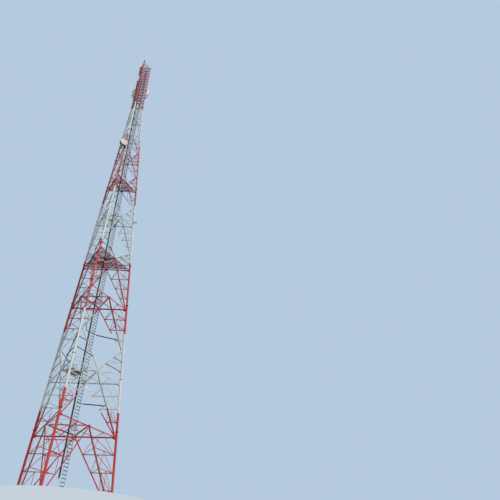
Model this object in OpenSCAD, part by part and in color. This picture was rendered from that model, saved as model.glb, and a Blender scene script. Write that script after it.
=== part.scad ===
// Three-legged lattice cell tower at half its real size.
// Millimetres, +Z up. The origin is the centre of the near leg's base plate, on its underside.

/* [Tower] */
// Height from the ground to the tops of the legs
tower_h = 30000; // [29200:50:31000]
// Height at which the taper ends and the legs run parallel
taper_end_h = 25430; // [25300:10:25800]
// Distance between leg centres at the ground
base_side = 4120; // [3900:10:4500]
// Distance between leg centres in the parallel top
top_side = 730; // [700:5:850]

/* [Levels] */
// Height of the first ring of horizontals
base_ring_h = 3180; // [3050:10:3350]
// Height of the second ring, which carries the rest platform
rest_ring_h = 5660; // [5500:10:5850]
// Height at which the lowest diamond meets the legs
diamond_h = 7290; // [7150:10:7450]
// Height of the ring above the lowest diamond
waist_ring_h = 9640; // [9500:10:9800]
// Height of the ring that carries the middle platform
middle_deck_h = 12060; // [11900:10:12200]
// Height at which the middle diamond meets the legs
middle_cross_h = 13140; // [13000:10:13300]
// Height of the ring above the middle diamond
upper_ring_h = 15040; // [14900:10:15200]
// Height of the ring that carries the upper platform
upper_deck_h = 17700; // [17550:10:17850]
// Height of the ring under the microwave dish
dish_ring_h = 19950; // [19800:10:20100]
// Height of the ring above the microwave dish
neck_ring_h = 21820; // [21700:10:21950]
// Height of the last ring in the taper
throat_ring_h = 23600; // [23450:10:23750]

/* [Legs] */
// Radius of the lowest leg tubes
low_leg_r = 53; // [47:1:58]
// Radius of the middle leg tubes
mid_leg_r = 46; // [41:1:50]
// Radius of the upper leg tubes
high_leg_r = 35; // [31:1:39]
// How far a splice flange stands out from its tube
flange_rim = 26; // [22:1:32]
// Thickness of one splice flange
flange_t = 12; // [8:1:16]
// Height of each splice above its ring
splice_rise = 260; // [240:5:300]

/* [Base plates] */
// Radius of a round base plate
plate_r = 190; // [175:5:220]
// Thickness of a base plate
plate_t = 24; // [18:1:32]
// Radius of the circle of anchor bolt holes
anchor_circle_r = 150; // [140:1:160]
// Radius of an anchor bolt hole
anchor_hole_r = 14; // [10:0.5:18]
// Number of anchor bolt holes in a base plate
anchor_count = 6; // [4:1:8]
// Height of the ribs on a base plate
rib_h = 110; // [90:5:130]

/* [Bracing] */
// Width of the main angle bars below the waist ring
main_w = 50; // [44:1:56]
// Width of the main angle bars above the waist ring
mid_main_w = 40; // [36:1:44]
// Width of the main angle bars in the upper taper
high_main_w = 30; // [26:1:34]
// Width of the main angle bars in the parallel top
top_main_w = 28; // [24:1:31]
// Width of the secondary angle bars below the waist ring
sub_w = 30; // [26:1:34]
// Thickness of the angle bars
bar_t = 5; // [4:0.5:7]
// Thickness of the gusset plates
gusset_t = 8; // [6:0.5:12]
// Clear distance from a leg tube to the end of a bar
setback = 46; // [42:1:52]
// Gap between seated pieces
seat = 0.3; // [0.2:0.05:0.4]

/* [Ladder] */
// Width of the climbing ladder between rail centres
ladder_w = 240; // [220:5:250]
// Distance between rungs
rung_pitch = 150; // [130:5:170]
// Radius of a rung
rung_r = 12; // [9:0.5:13]
// Depth of a ladder rail
rail_d = 30; // [28:1:35]
// Width of the cable ladder between rail centres
tray_w = 170; // [150:5:190]
// Distance between the rungs of the cable ladder
tray_pitch = 170; // [150:5:190]
// Height at which the cable ladder starts
tray_foot_h = 1200; // [1000:50:1500]
// Radius of a feeder cable
feeder_r = 9; // [7:0.5:10]

/* [Platforms] */
// Thickness of the grating
grating_t = 25; // [20:1:30]
// Distance between the bearing bars of the grating
grating_pitch = 75; // [65:5:95]
// Height of the handrail above a platform
rail_h = 520; // [480:10:560]

/* [Antennas] */
// Radius of the microwave dish
dish_r = 232; // [220:1:245]
// Depth of the drum of the microwave dish
dish_depth = 210; // [190:5:230]
// Height of the middle of the dish
dish_h = 20330; // [20300:10:20400]
// Height of a panel antenna
panel_h = 560; // [500:10:620]
// Width of a panel antenna
panel_w = 130; // [110:5:150]
// Depth of a panel antenna
panel_d = 60; // [50:2:70]

/* [Hidden] */

// Directions of the legs and of the faces opposite them, seen from above
NEAR = -90;
LEFT = 150;
RIGHT = 30;
BACK_FACE = 90;
LEFT_FACE = 210;
RIGHT_FACE = 330;

signal_red = [0.78, 0.13, 0.11];
band_white = [0.90, 0.90, 0.87];
galvanised = [0.45, 0.46, 0.47];
dark_steel = [0.25, 0.24, 0.24];

// A point as far out as a leg, and one as far out as the middle of a face
function leg_reach(h) = side_at(h) / sqrt(3);
function face_reach(h) = side_at(h) / (2 * sqrt(3));
function side_at(h) =
    h < taper_end_h ? base_side + (top_side - base_side) * h / taper_end_h : top_side;

leg_lean = atan((leg_reach(0) - leg_reach(taper_end_h)) / taper_end_h);
face_lean = atan((face_reach(0) - face_reach(taper_end_h)) / taper_end_h);
edge_slope = atan((base_side - top_side) / 2 / taper_end_h);

lower_splice_h = waist_ring_h + splice_rise;
upper_splice_h = upper_deck_h + splice_rise;

function leg_r_at(h) =
    h < lower_splice_h ? low_leg_r : h < upper_splice_h ? mid_leg_r : high_leg_r;
function main_w_at(h) =
    h <= waist_ring_h ? main_w
    : h <= upper_ring_h ? mid_main_w
    : h <= taper_end_h ? high_main_w
    : top_main_w;
function sub_w_at(h) = sub_w * main_w_at(h) / main_w;

// Bars of the next panel start this far above a ring, on the ring's own gussets
function lift_at(h) = main_w_at(h) + 12;

// Legs

module along_leg(dir, h) {
    rotate(dir) translate([leg_reach(h), 0, h])
        rotate([0, h < taper_end_h ? -leg_lean : 0, 0]) children();
}

module flange(r, h) {
    cylinder(r = r + flange_rim, h = h, $fn = 32);
}

module leg_tube(dir, h0, h1, r, foot_flange, head_flange) {
    length = (h1 - h0) / (h0 < taper_end_h ? cos(leg_lean) : 1);
    along_leg(dir, h0) {
        cylinder(r = r, h = length, $fn = 32);
        if (foot_flange) flange(r, flange_t);
        if (head_flange) translate([0, 0, length - flange_t]) flange(r, flange_t);
    }
}

module splice(dir, h, r) {
    along_leg(dir, h) translate([0, 0, -flange_t]) flange(r, 2 * flange_t);
}

module base_plate(dir) {
    rotate(dir) translate([leg_reach(0), 0, 0]) {
        difference() {
            cylinder(r = plate_r, h = plate_t, $fn = 48);
            for (k = [0:anchor_count - 1])
                rotate(360 * (k + 0.5) / anchor_count) translate([anchor_circle_r, 0, -1])
                    cylinder(r = anchor_hole_r, h = plate_t + 2, $fn = 24);
        }
        for (k = [0:anchor_count - 1])
            rotate(360 * k / anchor_count) translate([0, gusset_t / 2, plate_t - 1])
                rotate([90, 0, 0]) linear_extrude(gusset_t)
                    polygon([[0, 0], [plate_r - 10, 0], [plate_r - 10, 20],
                             [low_leg_r + 14, rib_h], [0, rib_h]]);
    }
}

module leg_lower(dir) {
    color(signal_red) {
        base_plate(dir);
        leg_tube(dir, plate_t / 2, lower_splice_h, low_leg_r, false, true);
        for (h = [base_ring_h, rest_ring_h]) splice(dir, h + splice_rise, low_leg_r);
    }
}

module leg_middle(dir) {
    color(band_white) {
        leg_tube(dir, lower_splice_h, upper_splice_h, mid_leg_r, true, true);
        for (h = [middle_deck_h, upper_ring_h]) splice(dir, h + splice_rise, mid_leg_r);
    }
}

// How far the ball in the bend of a leg stands out from the tubes
knuckle = 1.5;

module leg_upper(dir) {
    color(signal_red) {
        leg_tube(dir, upper_splice_h, taper_end_h, high_leg_r, true, false);
        leg_tube(dir, taper_end_h, tower_h, high_leg_r, true, true);
        for (h = [dish_ring_h, neck_ring_h]) splice(dir, h + splice_rise, high_leg_r);
        along_leg(dir, taper_end_h - 1) sphere(r = high_leg_r + knuckle, $fn = 24);
    }
}

// Faces. A face is drawn flat, with x along the face and y up its slope.

function slope_of(h) = h <= taper_end_h ? cos(face_lean) : 1;
function at(u, h, slope) = [u, h / slope];
function half(h) = side_at(h) / 2;
function tube_edge(h) = half(h) - (leg_r_at(h) + seat) / cos(edge_slope);
function bar_end(h) = tube_edge(h) - setback;

module bar(ends, w, shift = 0) {
    run = ends[1] - ends[0];
    translate(ends[0]) rotate(atan2(run[1], run[0]))
        translate([0, shift - w / 2]) square([norm(run), w]);
}

// Width of a hanging bar as a share of the secondary angle bars
hanger_share = 0.8;

// Width of the short bars of a valley as a share of the other secondary bars
valley_share = 1.3;

// How far the outstanding leg of a main bar is cut back at each end, in bar widths
cope = 1.6;

module flat_bars(bars, w) {
    linear_extrude(bar_t) for (b = bars) bar(b, w);
}

function shortened(ends, cut) =
    let (step = (ends[1] - ends[0]) * cut / norm(ends[1] - ends[0]))
    [ends[0] + step, ends[1] - step];

// The upright half of each angle bar, along one edge of the flat half
module outstanding_legs(bars, w) {
    translate([0, 0, bar_t / 2]) linear_extrude(w - bar_t / 2)
        for (b = bars) bar(b, bar_t, (w - bar_t) / 2);
}

module angle_bars(bars, w) {
    flat_bars(bars, w);
    outstanding_legs(bars, w);
}

// Where main bars meet, their outstanding legs are cut back
module main_bars(mains, rings, w) {
    flat_bars(concat(mains, rings), w);
    outstanding_legs(concat([for (m = mains) shortened(m, cope * w)], rings), w);
}

module face_plane(dir, slope) {
    rotate(dir) translate([slope < 1 ? face_reach(0) : face_reach(taper_end_h), 0, 0])
        rotate([0, slope < 1 ? -face_lean : 0, 0]) rotate([90, 0, -90]) mirror([1, 0, 0])
            children();
}

function level(h0, h1, k, n) = h0 + (h1 - h0) * k / n;

// Each bar and its mirror image. The ends swap, so that both outstanding legs face the same way.
function mirrored(bars) = concat(bars, [
    for (b = bars) [[-b[1][0], b[1][1]], [-b[0][0], b[0][1]]]
]);

// A peak runs from both legs at h0 up to the middle of the ring at h1
function peak_u(h, h0, h1) = bar_end(h0) * (h1 - h) / (h1 - h0);
function peak_mains(h0, h1, s) = mirrored([[at(bar_end(h0), h0, s), at(0, h1, s)]]);
function ring(h, s) = [[at(-bar_end(h), h, s), at(bar_end(h), h, s)]];
function peak_subs(h0, h1, n, s) = n < 2 ? [] : mirrored([
    for (k = [1:n - 1])
        let (h = level(h0, h1, k, n))
        [at(peak_u(h, h0, h1), h, s), at(bar_end(h), h, s)]
]);

// Small inverted Vs hang from the middle of each short horizontal
function peak_hangers(h0, h1, n, s) = n < 2 ? [] : mirrored([
    for (k = [2:n])
        let (h = level(h0, h1, k, n), low = level(h0, h1, k - 1, n),
             top = at((peak_u(h, h0, h1) + bar_end(h)) / 2, h, s))
        each [[top, at(peak_u(low, h0, h1), low, s)], [top, at(bar_end(low), low, s)]]
]);

// A valley runs from the middle of the ring at h0 up to both legs at h1
function valley_u(h, h0, h1) = bar_end(h1) * (h - h0) / (h1 - h0);
function valley_mains(h0, h1, s) = mirrored([[at(0, h0, s), at(bar_end(h1), h1, s)]]);
function valley_subs(h0, h1, n, s) = n < 2 ? [] : mirrored([
    for (k = [1:n - 1])
        let (h = level(h0, h1, k, n))
        [at(valley_u(h, h0, h1), h, s), at(bar_end(h), h, s)]
]);
function valley_hangers(h0, h1, n, s) = n < 2 ? [] : mirrored([
    for (k = [1:n - 1])
        let (h = level(h0, h1, k, n), low = level(h0, h1, k - 1, n))
        [at(valley_u(h, h0, h1), h, s), at(bar_end(low), low, s)]
]);

// Gusset plates in the plane of the face, welded up to the leg tubes
module leg_gussets(h, w, s) {
    rise = 1.8 * w;
    for (m = [-1, 1])
        polygon([at(m * tube_edge(h - rise), h - rise, s), at(m * tube_edge(h + rise), h + rise, s),
                 at(m * (bar_end(h) - 1.3 * w), h + 0.8 * w, s),
                 at(m * (bar_end(h) - 1.3 * w), h - 0.8 * w, s)]);
}

module middle_gusset(h, w, s) {
    polygon([at(-1.8 * w, h - w / 2, s), at(-0.8 * w, h - 1.3 * w, s), at(0.8 * w, h - 1.3 * w, s),
             at(1.8 * w, h - w / 2, s), at(1.8 * w, h + w / 2, s), at(w, h + 1.4 * w, s),
             at(-w, h + 1.4 * w, s), at(-1.8 * w, h + w / 2, s)]);
}

module leg_tabs(h0, h1, n, w, s) {
    if (n > 1) for (m = [-1, 1], k = [1:n - 1]) {
        h = level(h0, h1, k, n);
        polygon([at(m * tube_edge(h - w), h - w, s), at(m * tube_edge(h + w), h + w, s),
                 at(m * (bar_end(h) - w), h + w / 2, s), at(m * (bar_end(h) - w), h - w / 2, s)]);
    }
}

// A small plate joins the inner end of each short bar of a valley to the diagonal behind it
module valley_tabs(h0, h1, n, w, s) {
    if (n > 1) for (m = [-1, 1], k = [1:n - 1]) {
        h = level(h0, h1, k, n);
        translate(at(m * valley_u(h, h0, h1), h, s)) square(1.3 * w, center = true);
    }
}

module plates() {
    translate([0, 0, -gusset_t / 2]) linear_extrude(gusset_t) children();
}

module outside_plates() {
    mirror([0, 0, 1]) on_plates() children();
}

module on_plates() {
    translate([0, 0, gusset_t / 2]) children();
}

module peak_panel(row) {
    h0 = row[0];
    h1 = row[1];
    n = row[2];
    s = slope_of(h1);
    w = main_w_at(h1);
    sub = sub_w_at(h1);
    on_plates() {
        main_bars(peak_mains(h0, h1, s), ring(h1, s), w);
        angle_bars(peak_subs(h0, h1, n, s), sub);
        flat_bars(peak_hangers(h0, h1, n, s), sub * hanger_share);
    }
    plates() {
        leg_gussets(h1, w, s);
        middle_gusset(h1, w, s);
        leg_tabs(h0, h1, n, sub, s);
    }
}

module valley_panel(row) {
    h0 = row[0];
    h1 = row[1];
    n = row[2];
    s = slope_of(h1);
    w = main_w_at(h1);
    sub = sub_w_at(h1);
    short_w = sub * valley_share;
    on_plates() {
        main_bars(valley_mains(h0, h1, s), [], w);
        flat_bars(valley_hangers(h0, h1, n, s), sub * hanger_share);
    }
    outside_plates() angle_bars([for (b = valley_subs(h0, h1, n, s)) [b[1], b[0]]], short_w);
    plates() {
        leg_gussets(h1, w, s);
        leg_tabs(h0, h1, n, sub, s);
        valley_tabs(h0, h1, n, short_w, s);
    }
}

// Panels of a face, from the ground up. Each row of a list below is [foot, head, divisions].

foot_h = plate_t + rib_h + 60;
base_peak = [foot_h, base_ring_h, 4];
rest_peak = [base_ring_h + lift_at(0), rest_ring_h, 4];
rest_valley = [rest_ring_h + lift_at(0), diamond_h, 3];
waist_peak = [diamond_h, waist_ring_h, 4];
middle_peak = [waist_ring_h + lift_at(0), middle_deck_h, 4];
middle_valley = [middle_deck_h, middle_cross_h, 3];
cross_peak = [middle_cross_h, upper_ring_h, 4];

module base_panel(dir) {
    color(signal_red) face_plane(dir, slope_of(0)) {
        peak_panel(base_peak);
        plates() leg_gussets(foot_h, main_w / 2, slope_of(0));
    }
}

module rest_panel(dir) {
    color(band_white) face_plane(dir, slope_of(0)) peak_panel(rest_peak);
}

module diamond_panel(dir) {
    color(band_white) face_plane(dir, slope_of(0)) {
        valley_panel(rest_valley);
        peak_panel(waist_peak);
    }
}

module middle_panel(dir) {
    color(signal_red) face_plane(dir, slope_of(0)) {
        peak_panel(middle_peak);
        valley_panel(middle_valley);
        peak_panel(cross_peak);
    }
}

// The last ring of the taper lies just under the flange where the legs become parallel
taper_ring_h = taper_end_h - 110;
upper_rings = [upper_ring_h, upper_deck_h, dish_ring_h, neck_ring_h, throat_ring_h, taper_ring_h];

module upper_panel(dir) {
    color(band_white) face_plane(dir, slope_of(0))
        for (k = [0:len(upper_rings) - 2]) {
            low = upper_rings[k] + (k == 0 ? lift_at(upper_ring_h) : 0);
            high = upper_rings[k + 1];
            valley_panel([low, (low + high) / 2, k < 3 ? 3 : 2]);
            peak_panel([(low + high) / 2, high, k < 3 ? 2 : 1]);
        }
}

top_panels = 14;

module top_panel(dir) {
    low = taper_end_h + flange_t + lift_at(taper_end_h);
    pitch = (tower_h - 3 * flange_t - top_main_w - low) / top_panels;
    color(signal_red) face_plane(dir, 1)
        for (k = [0:top_panels - 1]) {
            h = low + k * pitch;
            top_cell(h, h + pitch);
        }
}

module top_cell(h0, h1) {
    on_plates()
        main_bars(peak_mains(h0, h1, 1), ring(h1, 1), top_main_w);
    plates() {
        leg_gussets(h1, top_main_w / 2, 1);
        leg_gussets(h0, top_main_w / 2, 1);
    }
}

// Corner ties run round the inside of a leg, from a bar of one face to a bar of the next.
// Each is [height, distance from the leg measured along the faces].

function peak_tie(row, k) =
    let (h = level(row[0], row[1], k, row[2])) [h, half(h) - peak_u(h, row[0], row[1])];
function ring_tie(h) = [h, half(h) - bar_end(h) / 2];

level_ties = [
    for (row = [base_peak, rest_peak, waist_peak, middle_peak, cross_peak], k = [1:row[2] - 1])
        peak_tie(row, k)
];
ring_ties = [for (h = [base_ring_h, rest_ring_h, waist_ring_h, middle_deck_h, upper_ring_h]) ring_tie(h)];

// Room for the lean of the faces between a tie and the bars it bears on
lean_room = 2;

// Level ties lie on the bars of their level, ring ties hang under the legs of the ring's bars
function level_tie_z(tie) = tie[0] + sub_w_at(tie[0]) / 2;
function ring_tie_z(tie) = tie[0] + main_w_at(tie[0]) / 2 - 2 * bar_t - lean_room;

// How far the middle of a tie is from the tower's axis. It keeps to the leg's side of the diagonals.
function tie_reach(tie) =
    let (step = main_w_at(tie[0]) / 2 + sub_w_at(tie[0]))
    leg_reach(tie[0] + main_w_at(tie[0])) - (tie[1] - step) * cos(30);

// A strip across the corner between x0 and x1, its ends cut depth short of the faces
module corner_strip(tie, x0, x1, depth) {
    tip = leg_reach(tie[0] + main_w_at(tie[0])) - 2 * depth;
    linear_extrude(bar_t)
        polygon([for (p = [[x0, 1], [x1, 1], [x1, -1], [x0, -1]]) [p[0], p[1] * (tip - p[0]) * tan(30)]]);
}

module level_tie(tie) {
    w = sub_w_at(tie[0]);
    x = tie_reach(tie);
    translate([0, 0, level_tie_z(tie)]) {
        corner_strip(tie, x - w / 2, x + w / 2, gusset_t / 2 + bar_t + seat);
        translate([0, 0, bar_t / 2]) scale([1, 1, (w - bar_t / 2) / bar_t])
            corner_strip(tie, x + w / 2 - bar_t, x + w / 2, gusset_t + main_w_at(tie[0]));
    }
}

module ring_tie(tie) {
    w = sub_w_at(tie[0]) * hanger_share;
    x = tie_reach(tie);
    translate([0, 0, ring_tie_z(tie)])
        corner_strip(tie, x - w / 2, x + w / 2, gusset_t / 2 + bar_t + seat);
}

module corner_ties(dir) {
    color(band_white) rotate(dir) {
        for (tie = level_ties) level_tie(tie);
        for (tie = ring_ties) ring_tie(tie);
    }
}

// Plan frames

// Placed by the ring at height h, flat on the inner legs of its horizontals
function plan_z(h) = h + main_w_at(h) / 2 + seat;
function plan_r(h) = face_reach(h) - gusset_t / 2 - main_w_at(h) / 2;
function face_dir(a, r) = [r * cos(a), r * sin(a)];

// The bars of the triangle that joins the middles of the three faces
function plan_triangle(h) =
    let (corners = [for (a = [BACK_FACE, LEFT_FACE, RIGHT_FACE]) face_dir(a, plan_r(h))])
    [for (k = [0:2]) [corners[k], corners[(k + 1) % 3]]];

// The climbing ladder runs parallel to the right face, the cable ladder to the left face
ladder_turn = 60;
ladder_out = 135;
ladder_along = 66;
tray_turn = 120;
tray_out = 35;
tray_along = 20;
rail_t = 8;

// Moves to a ladder's own axes: x along its rungs, y away from the tower's axis
module ladder_axes(turn) {
    rotate(turn) translate(turn == ladder_turn ? [ladder_along, -ladder_out] : [tray_along, tray_out])
        mirror([0, turn == ladder_turn ? 1 : 0, 0]) children();
}

// A beam across the tower, from face to face, just outside one of the ladders
module ladder_beam(h, turn, out) {
    w = main_w_at(h);
    offset_y = out + rail_d / 2 + seat + w / 2;
    half_chord = (offset_y + 2 * plan_r(h)) / sqrt(3);
    rotate(turn) translate([0, turn == ladder_turn ? -offset_y : offset_y])
        bar([[-half_chord, 0], [half_chord, 0]], w);
}

module plan_level(h, with_triangle = true) {
    w = main_w_at(h);
    ties = with_triangle ? plan_triangle(h) : [];
    translate([0, 0, plan_z(h)]) {
        linear_extrude(bar_t) {
            for (t = ties) bar(t, w);
            ladder_beam(h, ladder_turn, ladder_out);
            ladder_beam(h, tray_turn, tray_out);
        }
        if (with_triangle) outstanding_legs([for (t = ties) shortened(t, 2.5 * w)], w);
    }
}

module base_plan_frame() {
    color(signal_red) plan_level(base_ring_h);
}

module rest_plan_frame() {
    color(band_white) plan_level(rest_ring_h);
}

module waist_plan_frame() {
    color(signal_red) plan_level(waist_ring_h);
}

module upper_plan_frames() {
    color(galvanised) {
        for (h = [middle_deck_h, upper_ring_h]) plan_level(h);
        for (h = [upper_deck_h, dish_ring_h, neck_ring_h, throat_ring_h]) plan_level(h, false);
    }
}

strut_w = 36;

// How far the struts lie below the short bars of their level
strut_drop = 75;

// How far the upright half of a strut is cut back at each end, in bar widths
strut_cope = 1.5;

function turned(p, a) = [p[0] * cos(a) - p[1] * sin(a), p[0] * sin(a) + p[1] * cos(a)];

// Struts that steady the climbing ladder. Each crosses both rails, then runs out to the diagonal
// of the right face that rises from the right leg.
module ladder_struts() {
    color(dark_steel) for (strut = [[rest_peak, 2], [waist_peak, 1]]) {
        row = strut[0];
        h = level(row[0], row[1], strut[1], row[2]) - strut_drop;
        w = main_w_at(h);
        reach = (ladder_w + rail_t + strut_w) / 2;
        out = ladder_out + rail_d / 2 + seat + strut_w / 2;
        rail_ends = [for (m = [-1, 1]) turned([ladder_along + m * reach, -out], ladder_turn)];
        edge = face_reach(h + bar_t) - (gusset_t / 2 + w) / cos(face_lean) - seat;
        run = [rail_ends[1], turned([edge, peak_u(h, row[0], row[1])], RIGHT_FACE)];
        translate([0, 0, h]) {
            linear_extrude(bar_t) {
                bar(rail_ends, strut_w);
                intersection() {
                    bar([run[0], run[1] + (run[1] - run[0]) * strut_w / norm(run[1] - run[0])], strut_w);
                    rotate(RIGHT_FACE) translate([edge - base_side, -base_side])
                        square([base_side, 2 * base_side]);
                }
            }
            mirror([0, 0, 1]) translate([0, 0, -bar_t])
                outstanding_legs([shortened(run, strut_cope * strut_w)], strut_w);
        }
    }
}

// Platforms

// Clear distance from a deck to the bars of the faces
deck_gap = 10;

module deck_outline(h, inset) {
    r = 2 * (face_reach(h) - inset);
    intersection() {
        polygon([for (a = [NEAR, RIGHT, LEFT]) face_dir(a, r)]);
        rotate(180) polygon([for (a = [NEAR, RIGHT, LEFT]) face_dir(a, 1.86 * r)]);
    }
}

module grating(h, inset) {
    rim = 30;
    reach = leg_reach(h);
    linear_extrude(grating_t) difference() {
        union() {
            difference() {
                deck_outline(h, inset);
                deck_outline(h, inset + rim);
            }
            intersection() {
                deck_outline(h, inset);
                union() {
                    rotate(RIGHT_FACE + 90) {
                        for (y = [-reach:grating_pitch:reach])
                            translate([-reach, y]) square([2 * reach, 8]);
                        for (x = [-3:3])
                            translate([x * reach / 4 - 5, -reach]) square([10, 2 * reach]);
                    }
                    hatch_area(rim);
                }
            }
        }
        hatch_area(0);
    }
}

// The hatch that both ladders pass through
hatch = [430, 350];
hatch_middle = [55, -5];

module hatch_area(grow) {
    translate(hatch_middle - hatch / 2 - [grow, grow]) square(hatch + 2 * [grow, grow]);
}

module platform(h, bearer_t) {
    translate([0, 0, plan_z(h) + bearer_t + seat]) grating(h, 1.3 * main_w_at(h) + deck_gap);
}

module middle_platform() {
    color(dark_steel) platform(middle_deck_h, mid_main_w);
}

module upper_platform() {
    color(dark_steel) platform(upper_deck_h, bar_t);
}

// Corner, length and width of the rest platform, which lies parallel to the right face, and its handrail
rest_corner = [-710, 60, 0];
rest_deck = [780, 420];
hand_r = 9;

module rest_platform() {
    color(dark_steel) translate([0, 0, plan_z(rest_ring_h) + main_w + seat]) {
        rotate(RIGHT_FACE + 90) translate(rest_corner) {
            linear_extrude(grating_t) {
                difference() {
                    square(rest_deck);
                    translate([20, 20]) square(rest_deck - [40, 40]);
                }
                for (x = [grating_pitch:grating_pitch:rest_deck[0] - 40])
                    translate([x, 10]) square([8, rest_deck[1] - 20]);
                translate([10, rest_deck[1] / 2 - 4]) square([rest_deck[0] - 20, 8]);
            }
            for (x = [10, rest_deck[0] / 2, rest_deck[0] - 10])
                translate([x, rest_deck[1] - 10, 0]) cylinder(r = hand_r, h = rail_h, $fn = 12);
            for (z = [rail_h / 2, rail_h]) translate([10, rest_deck[1] - 10, z])
                rotate([0, 90, 0]) cylinder(r = hand_r, h = rest_deck[0] - 20, $fn = 12);
        }
    }
}

// Ladders

module rails(w, z0, z1) {
    for (m = [-1, 1]) translate([m * w / 2 - rail_t / 2, -rail_d / 2, z0])
        cube([rail_t, rail_d, z1 - z0]);
}

module ladder(z0, z1) {
    color(galvanised) ladder_axes(ladder_turn) {
        rails(ladder_w, z0, z1);
        for (z = [ceil(z0 / rung_pitch + 0.3) * rung_pitch:rung_pitch:z1 - rung_pitch / 3])
            translate([-ladder_w / 2, 0, z]) rotate([0, 90, 0])
                cylinder(r = rung_r, h = ladder_w, $fn = 8);
    }
}

module cable_ladder(z0, z1) {
    color(galvanised) ladder_axes(tray_turn) {
        rails(tray_w, z0, z1);
        for (z = [z0 + tray_pitch / 2:tray_pitch:z1 - tray_pitch / 3])
            translate([-tray_w / 2, -rail_t / 2, z]) cube([tray_w, rail_t, rail_d]);
    }
}

feeder_count = 4;

module feeder_cables() {
    pitch = (tray_w - 2 * rail_t - 2 * feeder_r) / feeder_count;
    color(dark_steel) ladder_axes(tray_turn)
        for (k = [0:feeder_count - 1])
            translate([(k - (feeder_count - 1) / 2) * pitch,
                       -rail_t / 2 - feeder_r - seat, tray_foot_h + 100])
                cylinder(r = feeder_r, h = tower_h - 2600 - 300 * k - tray_foot_h, $fn = 16);
}

// Dish and antennas

pipe_r = 22;
clamp_t = 14;
clamp_h = 60;

// Moves to a leg at height h, turned so that x points along an arm
module at_leg(dir, turn, h) {
    rotate(dir) translate([leg_reach(h), 0, h]) rotate(turn - dir) children();
}

// A pipe held upright beside a leg by two arms, each with a clamp round the leg
module side_mount(dir, turn, h, out, pipe_h, arm_gap) {
    for (z = [h - arm_gap / 2, h + arm_gap / 2]) difference() {
        union() {
            along_leg(dir, z) cylinder(r = leg_r_at(z) + clamp_t, h = clamp_h, center = true, $fn = 32);
            at_leg(dir, turn, z) translate([0, -pipe_r / 2, -pipe_r / 2])
                cube([out + leg_reach(h) - leg_reach(z), pipe_r, pipe_r]);
        }
        along_leg(dir, z) cylinder(r = leg_r_at(z) + seat, h = 2 * clamp_h, center = true, $fn = 32);
    }
    at_leg(dir, turn, h) translate([out, 0, -pipe_h / 2]) cylinder(r = pipe_r, h = pipe_h, $fn = 24);
}

dish_turn = -57;
dish_arm_turn = 193;
dish_arm = 200;
dish_hub = 60;

module dish() {
    back = dish_depth * 0.75 + dish_hub + pipe_r + seat;
    color(band_white) at_leg(NEAR, dish_arm_turn, dish_h) translate([dish_arm, 0, 0])
        rotate(dish_turn - dish_arm_turn) translate([back, 0, 0]) rotate([0, 90, 0])
            rotate_extrude($fn = 64)
                polygon([[0, -dish_depth * 0.75 - dish_hub], [40, -dish_depth * 0.75 - dish_hub],
                         [40, -dish_depth * 0.74], [dish_r * 0.35, -dish_depth * 0.72],
                         [dish_r * 0.75, -dish_depth * 0.48], [dish_r - 6, -dish_depth * 0.36],
                         [dish_r - 6, dish_depth * 0.1], [dish_r, dish_depth * 0.1],
                         [dish_r, dish_depth / 2],
                         [dish_r * 0.6, dish_depth / 2 + 10], [0, dish_depth / 2 + 16]]);
}

module dish_mount() {
    color(dark_steel) side_mount(NEAR, dish_arm_turn, dish_h, dish_arm, 600, 400);
}

// Height at a share of the way up the parallel top
function top_h(share) = taper_end_h + share * (tower_h - taper_end_h);

// Leg, direction of the arms, height of their middle, their reach and their distance apart,
// the direction that the antenna looks in and how far it hangs below the middle
near_set = [NEAR, 190, top_h(0.5186), 95, 600, 215, 90];
left_set = [LEFT, 175, top_h(0.3217), 95, 800, 235, 10];
right_set = [RIGHT, 10, top_h(0.3217), 115, 800, 305, -160];
mast_spare = 120;
radio = [60, 60, 150];

// Moves to the upright pipe of a set, turned so that x points along the given direction
module at_pipe(set, turn) {
    at_leg(set[0], set[1], set[2]) translate([set[3], 0, 0]) rotate(turn - set[1]) children();
}

module panel_antenna(set) {
    color(band_white) at_pipe(set, set[5]) translate([0, 0, -set[6]]) {
        translate([pipe_r + 50, -panel_w / 2, -panel_h / 2]) cube([panel_d, panel_w, panel_h]);
        for (z = [-panel_h * 0.36, panel_h * 0.36])
            translate([pipe_r + seat, -20, z - 15]) cube([52, 40, 30]);
    }
}

module antenna_arms() {
    color(dark_steel) for (set = [near_set, left_set, right_set])
        side_mount(set[0], set[1], set[2], set[3], set[4] + mast_spare, set[4]);
}

module radio_units() {
    color(dark_steel) for (set = [left_set, right_set])
        at_pipe(set, set[0]) translate([pipe_r + seat, 0, -set[6]]) {
            translate([30, -radio[1] / 2, -radio[2] / 2]) cube(radio);
            translate([0, -15, -20]) cube([31, 30, 40]);
        }
}

// Everything below stands round the tower's own axis
module stand() {
    translate([0, leg_reach(0), 0]) children();
}

ladder_split = [middle_deck_h, upper_deck_h];
top_clearance = 1500;
tray_top_h = tower_h - top_clearance;

stand() leg_lower(NEAR);  // near_leg_lower
stand() leg_middle(NEAR);  // near_leg_middle
stand() leg_upper(NEAR);  // near_leg_upper
stand() leg_lower(LEFT);  // left_leg_lower
stand() leg_middle(LEFT);  // left_leg_middle
stand() leg_upper(LEFT);  // left_leg_upper
stand() leg_lower(RIGHT);  // right_leg_lower
stand() leg_middle(RIGHT);  // right_leg_middle
stand() leg_upper(RIGHT);  // right_leg_upper
stand() base_panel(BACK_FACE);  // back_base_panel
stand() rest_panel(BACK_FACE);  // back_rest_panel
stand() diamond_panel(BACK_FACE);  // back_diamond_panel
stand() middle_panel(BACK_FACE);  // back_middle_panel
stand() upper_panel(BACK_FACE);  // back_upper_panel
stand() top_panel(BACK_FACE);  // back_top_panel
stand() base_panel(LEFT_FACE);  // left_base_panel
stand() rest_panel(LEFT_FACE);  // left_rest_panel
stand() diamond_panel(LEFT_FACE);  // left_diamond_panel
stand() middle_panel(LEFT_FACE);  // left_middle_panel
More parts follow.
